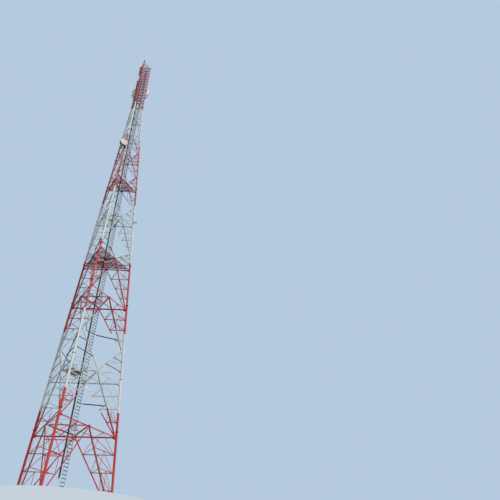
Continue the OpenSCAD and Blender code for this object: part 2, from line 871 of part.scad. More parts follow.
stand() upper_panel(LEFT_FACE);  // left_upper_panel
stand() top_panel(LEFT_FACE);  // left_top_panel
stand() base_panel(RIGHT_FACE);  // right_base_panel
stand() rest_panel(RIGHT_FACE);  // right_rest_panel
stand() diamond_panel(RIGHT_FACE);  // right_diamond_panel
stand() middle_panel(RIGHT_FACE);  // right_middle_panel
stand() upper_panel(RIGHT_FACE);  // right_upper_panel
stand() top_panel(RIGHT_FACE);  // right_top_panel
stand() corner_ties(NEAR);  // near_corner_ties
stand() corner_ties(LEFT);  // left_corner_ties
stand() corner_ties(RIGHT);  // right_corner_ties
stand() ladder_struts();
stand() base_plan_frame();
stand() rest_plan_frame();
stand() waist_plan_frame();
stand() upper_plan_frames();
stand() middle_platform();
stand() upper_platform();
stand() rest_platform();
stand() ladder(0, ladder_split[0]);  // lower_ladder
stand() ladder(ladder_split[0] + seat, ladder_split[1]);  // middle_ladder
stand() ladder(ladder_split[1] + seat, tower_h - 600);  // upper_ladder
stand() cable_ladder(tray_foot_h, upper_ring_h);  // lower_cable_ladder
stand() cable_ladder(upper_ring_h + seat, tray_top_h);  // upper_cable_ladder
stand() feeder_cables();
stand() dish();
stand() dish_mount();
stand() panel_antenna(near_set);  // near_panel_antenna
stand() panel_antenna(left_set);  // left_panel_antenna
stand() panel_antenna(right_set);  // right_panel_antenna
stand() antenna_arms();
stand() radio_units();
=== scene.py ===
"""Looks of the half-size lattice cell tower.

The CAD frame gives the legs, face panels, plan frames, decks, ladders, dish and antennas. This script
paints them in weathered red and white bands, and adds what is too fine for the solids: bolts, welds,
cable hangers and tails, rung grips, antenna shells, housing fins and grating rods.
"""

from __future__ import annotations

import logging
import math
from collections.abc import Sequence
from dataclasses import dataclass, replace
from enum import Enum
from fnmatch import fnmatch
from itertools import groupby, product

import bpy
import numpy as np
from mathutils import Matrix, Vector

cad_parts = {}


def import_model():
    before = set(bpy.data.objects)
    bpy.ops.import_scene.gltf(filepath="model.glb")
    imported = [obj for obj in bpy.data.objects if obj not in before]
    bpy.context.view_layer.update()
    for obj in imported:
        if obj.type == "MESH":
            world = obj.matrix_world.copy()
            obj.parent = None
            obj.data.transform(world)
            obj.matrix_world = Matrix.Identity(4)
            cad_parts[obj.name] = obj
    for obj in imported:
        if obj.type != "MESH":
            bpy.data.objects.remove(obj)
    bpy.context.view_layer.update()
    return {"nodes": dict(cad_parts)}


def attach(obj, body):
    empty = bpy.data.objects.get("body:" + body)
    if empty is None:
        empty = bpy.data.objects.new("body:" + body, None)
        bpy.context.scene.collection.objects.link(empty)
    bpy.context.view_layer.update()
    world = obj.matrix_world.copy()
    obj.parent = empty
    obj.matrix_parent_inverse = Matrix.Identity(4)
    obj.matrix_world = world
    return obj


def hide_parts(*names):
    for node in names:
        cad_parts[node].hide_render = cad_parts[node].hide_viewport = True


log = logging.getLogger("tower")

Pair = tuple[float, float]
Point = tuple[float, float, float]
Colour = tuple[float, float, float]
Bar = tuple[Pair, Pair]
UP = Vector((0, 0, 1))


class Leg(Enum):
    """The three legs, each with its direction from the tower's axis in degrees."""

    NEAR = -90.0
    LEFT = 150.0
    RIGHT = 30.0


class Face(Enum):
    """The three faces, each with the direction that it looks in, in degrees."""

    BACK = 90.0
    LEFT = 210.0
    RIGHT = 330.0


class Pattern(Enum):
    """How the main bars of one panel of a face run."""

    PEAK = "from both legs up to the middle"
    VALLEY = "from the middle up to both legs"


def turned(x: float, y: float, degrees: float) -> Pair:
    """Turn a plan point anticlockwise about the tower's axis by some degrees."""
    a = math.radians(degrees)
    return x * math.cos(a) - y * math.sin(a), x * math.sin(a) + y * math.cos(a)


def heading(degrees: float) -> Vector:
    """Give the level unit direction at an angle in plan."""
    return Vector((*turned(1, 0, degrees), 0))


@dataclass(frozen=True)
class Tower:
    """The tower's sizes in metres, as the CAD source has them."""

    height: float = 30.0
    taper_end: float = 25.43
    base_side: float = 4.12
    top_side: float = 0.73
    gusset: float = 0.008
    bar: float = 0.005
    setback: float = 0.046
    seat: float = 0.0003
    flange: float = 0.012
    rings: tuple[float, ...] = (3.18, 5.66, 9.64, 12.06, 15.04, 17.7, 19.95, 21.82, 23.6, 25.32)
    leg_changes: Pair = (9.9, 17.96)
    leg_radii: tuple[float, ...] = (0.053, 0.046, 0.035)
    width_changes: tuple[float, ...] = (9.64, 15.04, 25.43)
    main_widths: tuple[float, ...] = (0.05, 0.04, 0.03, 0.028)
    sub_share: float = 0.6

    def side(self, h: float) -> float:
        """Give the distance between leg centres at height h."""
        return self.base_side + (self.top_side - self.base_side) * min(1.0, h / self.taper_end)

    def leg_reach(self, h: float) -> float:
        """Give the distance from the axis to a leg at height h."""
        return self.side(h) / math.sqrt(3)

    def face_reach(self, h: float) -> float:
        """Give the distance from the axis to the middle of a face at height h."""
        return self.side(h) / (2 * math.sqrt(3))

    def leg_radius(self, h: float) -> float:
        """Give the radius of the leg tubes at height h."""
        return self.leg_radii[sum(h >= change for change in self.leg_changes)]

    def main_width(self, h: float) -> float:
        """Give the width of the main angle bars at height h."""
        return self.main_widths[sum(h > change for change in self.width_changes)]

    def bar_end(self, h: float) -> float:
        """Give how far from the face's middle its bars end at height h."""
        slope = math.atan((self.base_side - self.top_side) / 2 / self.taper_end)
        return self.side(h) / 2 - (self.leg_radius(h) + self.seat) / math.cos(slope) - self.setback

    def placed(self, x: float, y: float, z: float) -> Vector:
        """Move a point given from the tower's axis into the row frame."""
        return Vector((x, y + self.leg_reach(0), z))

    def leg_point(self, leg: Leg, h: float) -> Vector:
        """Give the point on a leg's centre line at height h."""
        return self.placed(*turned(self.leg_reach(h), 0, leg.value), h)

    def leg_axis(self, leg: Leg, h: float) -> Vector:
        """Give the unit direction of a leg's centre line at height h.

        Args:
            leg: The leg.
            h: Height in metres.

        Returns:
            The direction upwards.
        """
        if h >= self.taper_end:
            return UP
        return (self.leg_point(leg, self.taper_end) - self.leg_point(leg, 0)).normalized()

    def face_point(self, face: Face, u: float, h: float, depth: float) -> Vector:
        """Give a point on or beside a face.

        Args:
            face: The face.
            u: Distance from the middle of the face, along it.
            h: Height of the point before it is moved inside.
            depth: Distance inside the face's middle plane.

        Returns:
            The point in the row frame.
        """
        lean = 0.0
        if h < self.taper_end:
            lean = math.atan((self.face_reach(0) - self.face_reach(self.taper_end)) / self.taper_end)
        reach = self.face_reach(h) - depth * math.cos(lean)
        return self.placed(*turned(reach, u, face.value), h - depth * math.sin(lean))

    def face_normal(self, face: Face, h: float) -> Vector:
        """Give the unit direction straight out of a face at height h."""
        return (self.face_point(face, 0, h, 0) - self.face_point(face, 0, h, 1)).normalized()


TOWER = Tower()


class Axes:
    """Level axes at a place: along, across and up."""

    def __init__(self, turn: float, origin: Vector) -> None:
        """Set the axes.

        Args:
            turn: Direction of the first axis in degrees.
            origin: Where they start, in the row frame.
        """
        self.origin = origin
        self.along, self.across = heading(turn), heading(turn + 90)
        self.rows = np.array([self.along, self.across, UP])

    @classmethod
    def beside(cls, turn: float, x: float, y: float, z: float = 0.0) -> Axes:
        """Set axes whose origin is measured along them from the foot of the tower's axis."""
        return cls(turn, TOWER.placed(*turned(x, y, turn), z))

    def at(self, x: float, y: float, z: float = 0.0) -> Vector:
        """Give a point along, across and above the origin."""
        return self.origin + self.along * x + self.across * y + UP * z


@dataclass(frozen=True)
class Panel:
    """One row of bars on a face, between two heights, split into equal steps."""

    low: float
    high: float
    steps: int
    pattern: Pattern

    def level(self, k: int) -> float:
        """Give the height of the kth level of the panel."""
        return self.low + (self.high - self.low) * k / self.steps

    def inner(self, h: float) -> float:
        """Give how far the main bars are from the face's middle at height h.

        Args:
            h: Height in metres.

        Returns:
            The distance from the middle.
        """
        share = (h - self.low) / (self.high - self.low)
        if self.pattern is Pattern.PEAK:
            return TOWER.bar_end(self.low) * (1 - share)
        return TOWER.bar_end(self.high) * share

    def main(self) -> Bar:
        """Give the two ends of the main bar of the right half, each as (u, h).

        Returns:
            The lower and the upper end.
        """
        if self.pattern is Pattern.PEAK:
            return (TOWER.bar_end(self.low), self.low), (0.0, self.high)
        return (0.0, self.low), (TOWER.bar_end(self.high), self.high)

    def shorts(self) -> list[Bar]:
        """List the short horizontals of the right half."""
        levels = [self.level(k) for k in range(1, self.steps)]
        return [((self.inner(h), h), (TOWER.bar_end(h), h)) for h in levels]

    def hangers(self) -> list[Bar]:
        """List the hanging bars of the right half.

        Returns:
            The bars, each as its upper and its lower end.
        """
        peak = self.pattern is Pattern.PEAK
        found: list[Bar] = []
        for k in range(2, self.steps + 1) if peak else range(1, self.steps):
            h, low = self.level(k), self.level(k - 1)
            if peak:
                top = ((self.inner(h) + TOWER.bar_end(h)) / 2, h)
                found += [(top, (self.inner(low), low)), (top, (TOWER.bar_end(low), low))]
            else:
                found.append(((self.inner(h), h), (TOWER.bar_end(low), low)))
        return found


def face_panels() -> tuple[Panel, ...]:
    """List the panels of one face from the ground up.

    Returns:
        The panels of the taper, in order.
    """
    peak, valley = Pattern.PEAK, Pattern.VALLEY
    base, rest, waist, deck, upper = TOWER.rings[:5]
    foot, lower_waist, upper_waist = 0.194, 7.29, 13.14
    gap, upper_gap = 0.062, 0.052
    rows = [
        Panel(foot, base, 4, peak),
        Panel(base + gap, rest, 4, peak),
        Panel(rest + gap, lower_waist, 3, valley),
        Panel(lower_waist, waist, 4, peak),
        Panel(waist + gap, deck, 4, peak),
        Panel(deck, upper_waist, 3, valley),
        Panel(upper_waist, upper, 4, peak),
    ]
    low = upper + upper_gap
    for k, high in enumerate(TOWER.rings[5:]):
        middle = (low + high) / 2
        valley_steps, peak_steps = (3, 2) if k < 3 else (2, 1)
        rows += [Panel(low, middle, valley_steps, valley), Panel(middle, high, peak_steps, peak)]
        low = high
    return tuple(rows)


PANELS = face_panels()


class Sculptor:
    """Collects many small forms and joins them into one mesh object."""

    def __init__(self, name: str) -> None:
        """Start an empty form.

        Args:
            name: Name of the object that it becomes.
        """
        self.name = name
        self.points: list[np.ndarray] = []
        self.faces: list[tuple[int, ...]] = []
        self.count = 0

    def skin(self, rings: list[np.ndarray], closed: bool = False) -> None:
        """Add a skin over rings of points.

        Args:
            rings: The rings, which have equally many points.
            closed: Whether the last ring joins the first. Otherwise both get a cap.
        """
        n = len(rings[0])
        starts = [self.count + k * n for k in range(len(rings))]
        for a, b in zip(starts, starts[1:] + (starts[:1] if closed else [])):
            self.faces += [(a + i, a + (i + 1) % n, b + (i + 1) % n, b + i) for i in range(n)]
        if not closed:
            self.faces.append(tuple(reversed(range(starts[0], starts[0] + n))))
            self.faces.append(tuple(range(starts[-1], starts[-1] + n)))
        self.points += rings
        self.count += len(rings) * n

    @staticmethod
    def basis(axis: Vector) -> np.ndarray:
        """Give two directions square to an axis, and the axis, as rows.

        Args:
            axis: The axis.

        Returns:
            The three unit directions.
        """
        w = axis.normalized()
        u = w.orthogonal().normalized()
        return np.array([u, w.cross(u), w])

    @staticmethod
    def circle(u: Vector | np.ndarray, v: Vector | np.ndarray, sides: int) -> np.ndarray:
        """Give the points of a unit circle in the plane of two directions."""
        turn = np.linspace(0, 2 * math.pi, sides, endpoint=False)
        return np.outer(np.cos(turn), u) + np.outer(np.sin(turn), v)

    def lathe(self, foot: Vector, axis: Vector, outline: Sequence[Pair], sides: int,
              closed: bool = False) -> None:
        """Turn an outline about an axis.

        Args:
            foot: Where the axis starts.
            axis: Direction of the axis.
            outline: Points as (radius, distance along the axis), first and last at the ends.
            sides: Number of sides.
            closed: Whether the outline is a closed one, as a hoop's is.
        """
        u, v, w = self.basis(axis)
        circle = self.circle(u, v, sides)
        self.skin([np.array(foot) + circle * r + w * d for r, d in outline], closed)

    def hexagon(self, foot: Vector, axis: Vector, radius: float, height: float) -> None:
        """Add a chamfered bolt head or nut."""
        edge = radius * 0.12
        self.lathe(foot, axis, [(radius, 0), (radius, height - edge), (radius - edge * 1.5, height)], 6)

    def bolt(self, outer: Vector, inner: Vector, out: Vector, sizes: Sequence[float],
             tail: Sequence[Pair] = ()) -> None:
        """Add a bolt with a washer and a nut.

        Args:
            outer: Where its washer lies.
            inner: Where its nut starts.
            out: Direction from the nut to the head.
            sizes: Radius of the washer and of the head, height of the head and of the nut.
            tail: Outline of the thread's end beyond the nut.
        """
        washer, radius, head, nut = sizes
        thin = 0.0015
        self.lathe(outer, out, [(washer, 0), (washer, thin)], 12)
        self.hexagon(outer + out * thin, out, radius, head)
        self.hexagon(inner, -out, radius, nut)
        if tail:
            self.lathe(inner - out * nut, -out, tail, 8)

    def sweep(self, route: list[Vector], radius: float, sides: int = 6) -> None:
        """Add a tube that follows a route.

        Args:
            route: Points of the route.
            radius: Radius of the tube.
            sides: Number of sides.
        """
        u = (route[1] - route[0]).normalized().orthogonal().normalized()
        rings = []
        for before, here, after in zip(route[:1] + route, route, route[1:] + route[-1:]):
            w = (after - before).normalized()
            u = (u - w * u.dot(w)).normalized()
            rings.append(np.array(here) + radius * self.circle(u, w.cross(u), sides))
        self.skin(rings)

    def block(self, middle: Vector, rows: np.ndarray, size: Point, chamfer: float = 0.0) -> None:
        """Add a block with chamfered long edges.

        Args:
            middle: Its middle.
            rows: Its three directions as rows.
            size: Its whole size along each direction.
            chamfer: How much is cut off its edges along the third direction.
        """
        a, b, c = (s / 2 for s in size)
        k = min(chamfer, a * 0.9, b * 0.9)
        outline = [(-a, -b), (a, -b), (a, b), (-a, b)]
        if k > 0:
            outline = [(k - a, -b), (a - k, -b), (a, k - b), (a, b - k)]
            outline += [(-x, -y) for x, y in outline]
        self.skin([np.array(middle) + np.array([(x, y, z) for x, y in outline]) @ rows for z in (-c, c)])

    def finish(self, finish: Finish, smooth: bool = False) -> bpy.types.Object:
        """Make the object, dress it and let it ride on the frame.

        Args:
            finish: Its finish.
            smooth: Whether its faces shade as one surface.

        Returns:
            The finished object.
        """
        mesh = bpy.data.meshes.new(self.name)
        mesh.from_pydata(np.vstack(self.points).tolist(), [], self.faces)
        mesh.validate()
        if smooth:
            mesh.shade_smooth()
            mesh.set_sharp_from_angle(angle=math.radians(35))
        piece = bpy.data.objects.new(self.name, mesh)
        bpy.context.scene.collection.objects.link(piece)
        piece.data.materials.append(finish.material())
        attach(piece, "root")
        log.info("%s: %d triangles", self.name, sum(len(p.vertices) - 2 for p in mesh.polygons))
        return piece


Socket = bpy.types.NodeSocket
Value = Socket | float | Colour


class NodeTree:
    """A short way to write a tree of shader nodes."""

    def __init__(self, tree: bpy.types.NodeTree) -> None:
        """Keep the tree that is written to."""
        self.nodes = tree.nodes
        self.links = tree.links

    def feed(self, target: Socket, value: Value) -> None:
        """Set a socket to a number or a colour, or link an output to it.

        Args:
            target: The socket.
            value: What goes in.
        """
        if isinstance(value, bpy.types.NodeSocket):
            self.links.new(value, target)
        else:
            target.default_value = (*value, 1.0) if target.type == "RGBA" else value

    def node(self, kind: str, inputs: dict[str | int, Value] | None = None) -> bpy.types.Node:
        """Add a node.

        Args:
            kind: Its kind, without the words that every kind starts with.
            inputs: What goes into its sockets.

        Returns:
            The node.
        """
        node = self.nodes.new("ShaderNode" + kind)
        for key, value in (inputs or {}).items():
            self.feed(node.inputs[key], value)
        return node

    def math(self, operation: str, a: Value, b: Value, c: float = 0.0) -> Socket:
        """Combine values by a Math operation.

        Args:
            operation: Name of the operation.
            a: First value.
            b: Second value.
            c: Third value, which few operations use.

        Returns:
            The result.
        """
        node = self.node("Math", {0: a, 1: b, 2: c})
        node.operation = operation
        return node.outputs[0]


@dataclass(frozen=True)
class Wear:
    """A noise in waves a metre, and how strongly its values in a span show."""

    scale: float
    detail: float = 3.0
    span: Pair = (0.0, 1.0)
    share: float = 1.0
    stretch: Point = (1.0, 1.0, 1.0)
    fineness: float = 0.5


@dataclass(frozen=True)
class Dust:
    """Dust on surfaces that face up, from one steepness to another, broken up by a noise."""

    colour: Colour
    span: Pair
    share: float
    scale: float
    detail: float


class NodeSheet(NodeTree):
    """The nodes of one material, round its principled shader."""

    def __init__(self, name: str) -> None:
        """Start a material.

        Args:
            name: Name of the material.
        """
        self.material = bpy.data.materials.new(name)
        self.material.use_nodes = True
        super().__init__(self.material.node_tree)
        self.shader = self.nodes["Principled BSDF"]
        self.place = self.node("TexCoord").outputs["Object"]

    def noise(self, wear: Wear) -> Socket:
        """Give the noise of a kind of wear, from 0 to 1.

        Args:
            wear: The kind of wear.

        Returns:
            The noise.
        """
        mapping = self.node("Mapping", {"Vector": self.place, "Scale": wear.stretch})
        inputs = {"Scale": wear.scale, "Detail": wear.detail, "Roughness": wear.fineness}
        return self.node("TexNoise", {"Vector": mapping.outputs["Vector"], **inputs}).outputs["Fac"]

    def grey(self, value: Socket, span: Pair, dark: float = 0.0, light: float = 1.0) -> Socket:
        """Stretch the values of a span from dark to light."""
        limits = {"From Min": span[0], "From Max": span[1], "To Min": dark, "To Max": light}
        return self.node("MapRange", {"Value": value, **limits}).outputs["Result"]

    def shown(self, wear: Wear) -> Socket:
        """Give how strongly a kind of wear shows, from 0 to its share."""
        return self.grey(self.noise(wear), wear.span, 0.0, wear.share)

    def mix(self, share: Value, a: Value, b: Value) -> Socket:
        """Mix two colours, with the second one's share.

        Args:
            share: Share of the second colour.
            a: First colour.
            b: Second colour.

        Returns:
            The mixed colour.
        """
        node = self.nodes.new("ShaderNodeMix")
        node.data_type = "RGBA"
        for socket, value in zip((node.inputs[0], node.inputs[6], node.inputs[7]), (share, a, b)):
            self.feed(socket, value)
        return node.outputs[2]

    def axis(self, vector: Socket, name: str = "Z") -> Socket:
        """Give one part of a vector."""
        return self.node("SeparateXYZ", {0: vector}).outputs[name]

    def upward(self, span: Pair, share: float) -> Socket:
        """Give up to a share where a surface faces up by a span from -1 to 1."""
        return self.grey(self.axis(self.node("NewGeometry").outputs["Normal"]), span, 0.0, share)

    def dusted(self, colour: Value, dust: Dust) -> Socket:
        """Lay dust over a colour.

        Args:
            colour: The colour.
            dust: The dust.

        Returns:
            The dusty colour.
        """
        grain = self.noise(Wear(dust.scale, dust.detail))
        lying = self.math("MULTIPLY", self.upward(dust.span, dust.share), grain)
        return self.mix(lying, colour, dust.colour)

    def dress(self, colour: Value, roughness: Value, metallic: float, relief: Socket, strength: float,
              depth: float) -> bpy.types.Material:
        """Join colour, roughness and relief to the shader.

        Args:
            colour: The surface colour.
            roughness: The roughness.
            metallic: How metallic it is.
            relief: The height of the relief.
            strength: How strong the relief is.
            depth: How deep the relief is in metres.

        Returns:
            The finished material.
        """
        sizes = {"Strength": strength, "Distance": depth, "Height": relief}
        bump = self.node("Bump", sizes).outputs["Normal"]
        ends = {"Base Color": colour, "Roughness": roughness, "Metallic": metallic, "Normal": bump}
        for name, value in ends.items():
            self.feed(self.shader.inputs[name], value)
        return self.material


@dataclass(frozen=True)
class Finish:
    """A finish that pieces and nodes share."""

    name: str
    slot: str = "painted_steel"

    def material(self) -> bpy.types.Material:
        """Give the finish's material, made the first time that it is asked for."""
        return bpy.data.materials.get(self.name) or self.make(NodeSheet(self.name))

    def make(self, sheet: NodeSheet) -> bpy.types.Material:
        """Make the material from its own sheet."""
        raise NotImplementedError


@dataclass(frozen=True)
class BandPaint(Finish):
    """Red and white bands of old gloss paint, by height, with dust, streaks, rust, painted shade on
    undersides and painted shade on the bars at some levels.
    """

    red: Colour = (0.56, 0.014, 0.010)
    red_faded: Colour = (0.52, 0.040, 0.034)
    white: Colour = (0.76, 0.78, 0.76)
    white_faded: Colour = (0.64, 0.66, 0.64)
    rust: Colour = (0.16, 0.055, 0.02)
    rust_stain: Colour = (0.38, 0.19, 0.09)
    # The grime colour below serves both the rain streaks and the painted shade on undersides.
    grime_and_shade: Colour = (0.17, 0.15, 0.125)
    # Painted shade: the dark colour put on the bars at the shade levels.
    level_shade: Colour = (0.045, 0.038, 0.042)
    edges: tuple[float, ...] = (4.285, 8.269, 12.529, 16.617, 21.609, 25.095)
    edge_wobble: float = 0.05
    # Painted shade: the levels whose bars get it, and how far from each in bar widths.
    shade_levels: tuple[float, ...] = ()
    shade_reach: float = 0.41
    rust_from: float = 0.62
    # Painted shade: how much surfaces that face down, by the steepness span below, are darkened.
    underside_shade: float = 0.30
    underside_shade_span: Pair = (-0.2, -0.95)
    fading: Wear = Wear(1.7, 4, (0.36, 0.70), 0.75)
    streaks: Wear = Wear(5.0, 5, (0.50, 0.78), 0.42, (9.0, 9.0, 0.55), 0.6)
    stains: Wear = Wear(3.1, 6, (0.56, 0.74), 0.5, (4.0, 4.0, 0.9), 0.65)
    rust_spots: Wear = Wear(38.0, 8, stretch=(1.0, 1.0, 0.7), fineness=0.7)
    dust: Dust = Dust((0.46, 0.41, 0.34), (0.35, 0.95), 0.45, 11.0, 4)

    def white_share(self, sheet: NodeSheet) -> Socket:
        """Give 1 at the heights of the white bands and 0 at those of the red ones.

        Args:
            sheet: The material's own sheet.

        Returns:
            The share of white.
        """
        wobble = sheet.math("MULTIPLY", sheet.math("SUBTRACT", sheet.noise(Wear(9.0)), 0.5), self.edge_wobble)
        height = sheet.math("ADD", sheet.axis(sheet.place), wobble)
        share = sheet.math("GREATER_THAN", height, self.edges[0])
        for k, edge in enumerate(self.edges[1:]):
            above = sheet.math("GREATER_THAN", height, edge)
            share = sheet.math("SUBTRACT" if k % 2 == 0 else "ADD", share, above)
        return share

    def with_level_shade(self, sheet: NodeSheet, colour: Socket) -> Socket:
        """Paint shade on the bars at the shade levels, which are seen dark from below.

        Args:
            sheet: The material's nodes.
            colour: The colour of the paint.

        Returns:
            The colour of the paint and the painted shade together.
        """
        height = sheet.axis(sheet.place)
        share: Value = 0.0
        for level in self.shade_levels:
            near = sheet.math("COMPARE", height, level, self.shade_reach * TOWER.main_width(level))
            share = sheet.math("MAXIMUM", share, near)
        # Painted shade: a dark colour with a little noise.
        level_shade = sheet.mix(sheet.noise(Wear(13.0, 5)), self.level_shade, tuple(2.2 * c for c in self.level_shade))
        return sheet.mix(share, colour, level_shade)

    def make(self, sheet: NodeSheet) -> bpy.types.Material:
        """Make the material, layer by layer.

        Args:
            sheet: The material's own sheet.

        Returns:
            The material.
        """
        white = self.white_share(sheet)
        fresh = sheet.mix(white, self.red, self.white)
        faded = sheet.mix(white, self.red_faded, self.white_faded)
        colour = sheet.mix(sheet.shown(self.fading), fresh, faded)
        colour = sheet.mix(sheet.shown(self.streaks), colour, self.grime_and_shade)
        # Painted shade: darker where surfaces face down.
        colour = sheet.mix(sheet.upward(self.underside_shade_span, self.underside_shade), colour, self.grime_and_shade)
        colour = sheet.mix(sheet.shown(self.stains), colour, self.rust_stain)
        colour = sheet.dusted(colour, self.dust)
        patches = sheet.math("MULTIPLY", sheet.noise(Wear(2.3)), 0.35)
        spots = sheet.math("ADD", sheet.noise(self.rust_spots), patches)
        rusting = sheet.grey(spots, (self.rust_from + 0.17, self.rust_from + 0.24))
        colour = sheet.mix(rusting, colour, self.rust)
        # Painted shade on the bars at the shade levels.
        if self.shade_levels:
            colour = self.with_level_shade(sheet, colour)
        dull = sheet.math("MAXIMUM", rusting, sheet.noise(Wear(6.0, 4)))
        relief = sheet.math("ADD", sheet.math("MULTIPLY", sheet.noise(Wear(160.0, 2)), 0.25), rusting)
        sheet.shader.inputs["IOR"].default_value = 1.48
        return sheet.dress(colour, sheet.grey(dull, (0.3, 1.0), 0.34, 0.88), 0.0, relief, 0.45, 0.0012)


@dataclass(frozen=True)
class Zinc(Finish):
    """Dull hot-dip zinc with spangle, dust and rust, and paint on the climbing ladder's rails."""

    slot: str = "galvanised_steel"
    pale: Colour = (0.20, 0.205, 0.205)
    dark: Colour = (0.085, 0.088, 0.09)
    rust: Colour = (0.12, 0.05, 0.022)
    rust_share: float = 0.5
    metallic: float = 0.35
    rail: Colour | None = None
    rail_span: Pair = (0.1155, 0.1165)
    dust: Dust = Dust((0.36, 0.32, 0.26), (0.3, 0.9), 0.4, 14.0, 3)
    rail_wear: Wear = Wear(26.0, 6)

    def railed(self, sheet: NodeSheet, colour: Socket) -> Socket:
        """Brush paint on the climbing ladder's rails, which leaves its rungs unpainted.

        Args:
            sheet: The material's nodes.
            colour: The colour of the bare metal.

        Returns:
            colour: The colour of the unpainted metal.
        """
        spin = sheet.node("VectorRotate", {"Vector": sheet.place, "Center": TOWER.placed(0, 0, 0),
                                           "Angle": math.radians(-LADDER_TURN)})
        spin.rotation_type = "Z_AXIS"
        offset = sheet.math("SUBTRACT", sheet.axis(spin.outputs["Vector"], "X"), LADDER_X)
        brushed = sheet.math("MULTIPLY", sheet.noise(Wear(60.0)), 0.004)
        painted = sheet.grey(sheet.math("ADD", sheet.math("ABSOLUTE", offset, 0.0), brushed), self.rail_span)
        worn = sheet.grey(sheet.noise(self.rail_wear), (0.60, 0.66), 1.0, 0.35)
        return sheet.mix(sheet.math("MULTIPLY", painted, worn), colour, self.rail)

    def make(self, sheet: NodeSheet) -> bpy.types.Material:
        """Make the material, from the spangle to the rust.

        Args:
            sheet: The material's own sheet.

        Returns:
            The material.
        """
        cells = sheet.node("TexVoronoi", {"Vector": sheet.place, "Scale": 70.0})
        spangle = sheet.node("SeparateColor", {0: cells.outputs["Color"]}).outputs[0]
        tone = sheet.math("ADD", sheet.math("MULTIPLY", spangle, 0.35), sheet.noise(Wear(2.0, 5)))
        colour = sheet.dusted(sheet.mix(sheet.grey(tone, (0.35, 1.0)), self.dark, self.pale), self.dust)
        blotch = sheet.shown(Wear(17.0, 8, (0.56, 0.66), self.rust_share, (1.0, 1.0, 0.6), 0.7))
        colour = sheet.mix(blotch, colour, self.rust)
        if self.rail:
            colour = self.railed(sheet, colour)
        roughness = sheet.grey(sheet.noise(Wear(24.0, 4)), (0.2, 0.8), 0.45, 0.78)
        relief = sheet.math("ADD", sheet.noise(Wear(90.0, 3)), blotch)
        return sheet.dress(colour, roughness, self.metallic, relief, 0.25, 0.0008)


@dataclass(frozen=True)
class Shell(Finish):
    """Pale moulded shell, chalky and streaked by rain, with painted shade on its underside, painted shade on
    the drum behind its front where it has one, and a painted glow where it has one.
    """

    slot: str = "white_shell"
    pale: Colour = (0.76, 0.73, 0.64)
    worn: Colour = (0.58, 0.55, 0.47)
    # The streak colour below serves both the rain streaks and the painted shade on the underside.
    streak_and_shade: Colour = (0.23, 0.20, 0.16)
    # Painted shade: the dark colour of the drum behind the front.
    drum: Colour = (0.12, 0.10, 0.085)
    roughness: Pair = (0.34, 0.62)
    front_turn: float | None = None
    # Painted light: how strongly the shell glows.
    painted_glow: float = 0.0
    chalking: Wear = Wear(4.0, 5, (0.35, 0.7))
    streaks: Wear = Wear(7.0, 6, (0.54, 0.80), 0.55, (8.0, 8.0, 0.8), 0.6)

    def fronted(self, sheet: NodeSheet, colour: Socket) -> Socket:
        """Keep the pale colour on the front, and paint shade on the drum behind it in a dark colour.

        Args:
            sheet: The material's nodes.
            colour: The colour of the front.

        Returns:
            The colour of the front and the drum together.
        """
        normal = sheet.node("NewGeometry").outputs["True Normal"]
        facing = sheet.node("VectorMath", {0: normal, 1: heading(self.front_turn)})
        facing.operation = "DOT_PRODUCT"
        # Painted shade: every face that doesn't look along the front gets the dark drum colour with a little
        # noise.
        drum = sheet.mix(sheet.noise(Wear(12.0, 5)), self.drum, tuple(1.7 * c for c in self.drum))
        return sheet.mix(sheet.grey(facing.outputs["Value"], (0.5, 0.6)), drum, colour)

    def make(self, sheet: NodeSheet) -> bpy.types.Material:
        """Make the material.

        Args:
            sheet: The material's own sheet.

        Returns:
            The material.
        """
        colour = sheet.mix(sheet.shown(self.chalking), self.pale, self.worn)
        colour = sheet.mix(sheet.shown(self.streaks), colour, self.streak_and_shade)
        # Painted shade: darker on faces that look down.
        colour = sheet.mix(sheet.upward((-0.25, -0.9), 0.45), colour, self.streak_and_shade)
        if self.front_turn is not None:
            colour = self.fronted(sheet, colour)
        # Painted light: the shell glows faintly in a pale blue-grey, though it is no lamp.
        sheet.feed(sheet.shader.inputs["Emission Color"], (0.75, 0.82, 0.86))
        sheet.feed(sheet.shader.inputs["Emission Strength"], self.painted_glow)
        roughness = sheet.grey(sheet.noise(Wear(15.0, 4)), (0.2, 0.8), *self.roughness)
        return sheet.dress(colour, roughness, 0.0, sheet.noise(Wear(220.0, 2)), 0.12, 0.0006)


@dataclass(frozen=True)
class Jacket(Finish):
    """Black cable jacket with fine rings and dust on its upper side."""

    slot: str = "black_jacket"
    dark: Colour = (0.018, 0.018, 0.02)
    dusty: Colour = (0.075, 0.07, 0.062)
    dust: Dust = Dust((0.28, 0.25, 0.2), (0.2, 0.9), 0.35, 30.0, 3)

    def make(self, sheet: NodeSheet) -> bpy.types.Material:
        """Make the material.

        Args:
            sheet: The material's own sheet.

        Returns:
            The material.
        """
        worn = sheet.shown(Wear(5.0, 5, (0.35, 0.75)))
        colour = sheet.dusted(sheet.mix(worn, self.dark, self.dusty), self.dust)
        rings = sheet.node("TexWave", {"Vector": sheet.place, "Scale": 26.0, "Distortion": 0.0})
        rings.bands_direction = "Z"
        roughness = sheet.grey(sheet.noise(Wear(20.0, 3)), (0.2, 0.8), 0.45, 0.7)
        return sheet.dress(colour, roughness, 0.0, rings.outputs["Fac"], 0.3, 0.001)


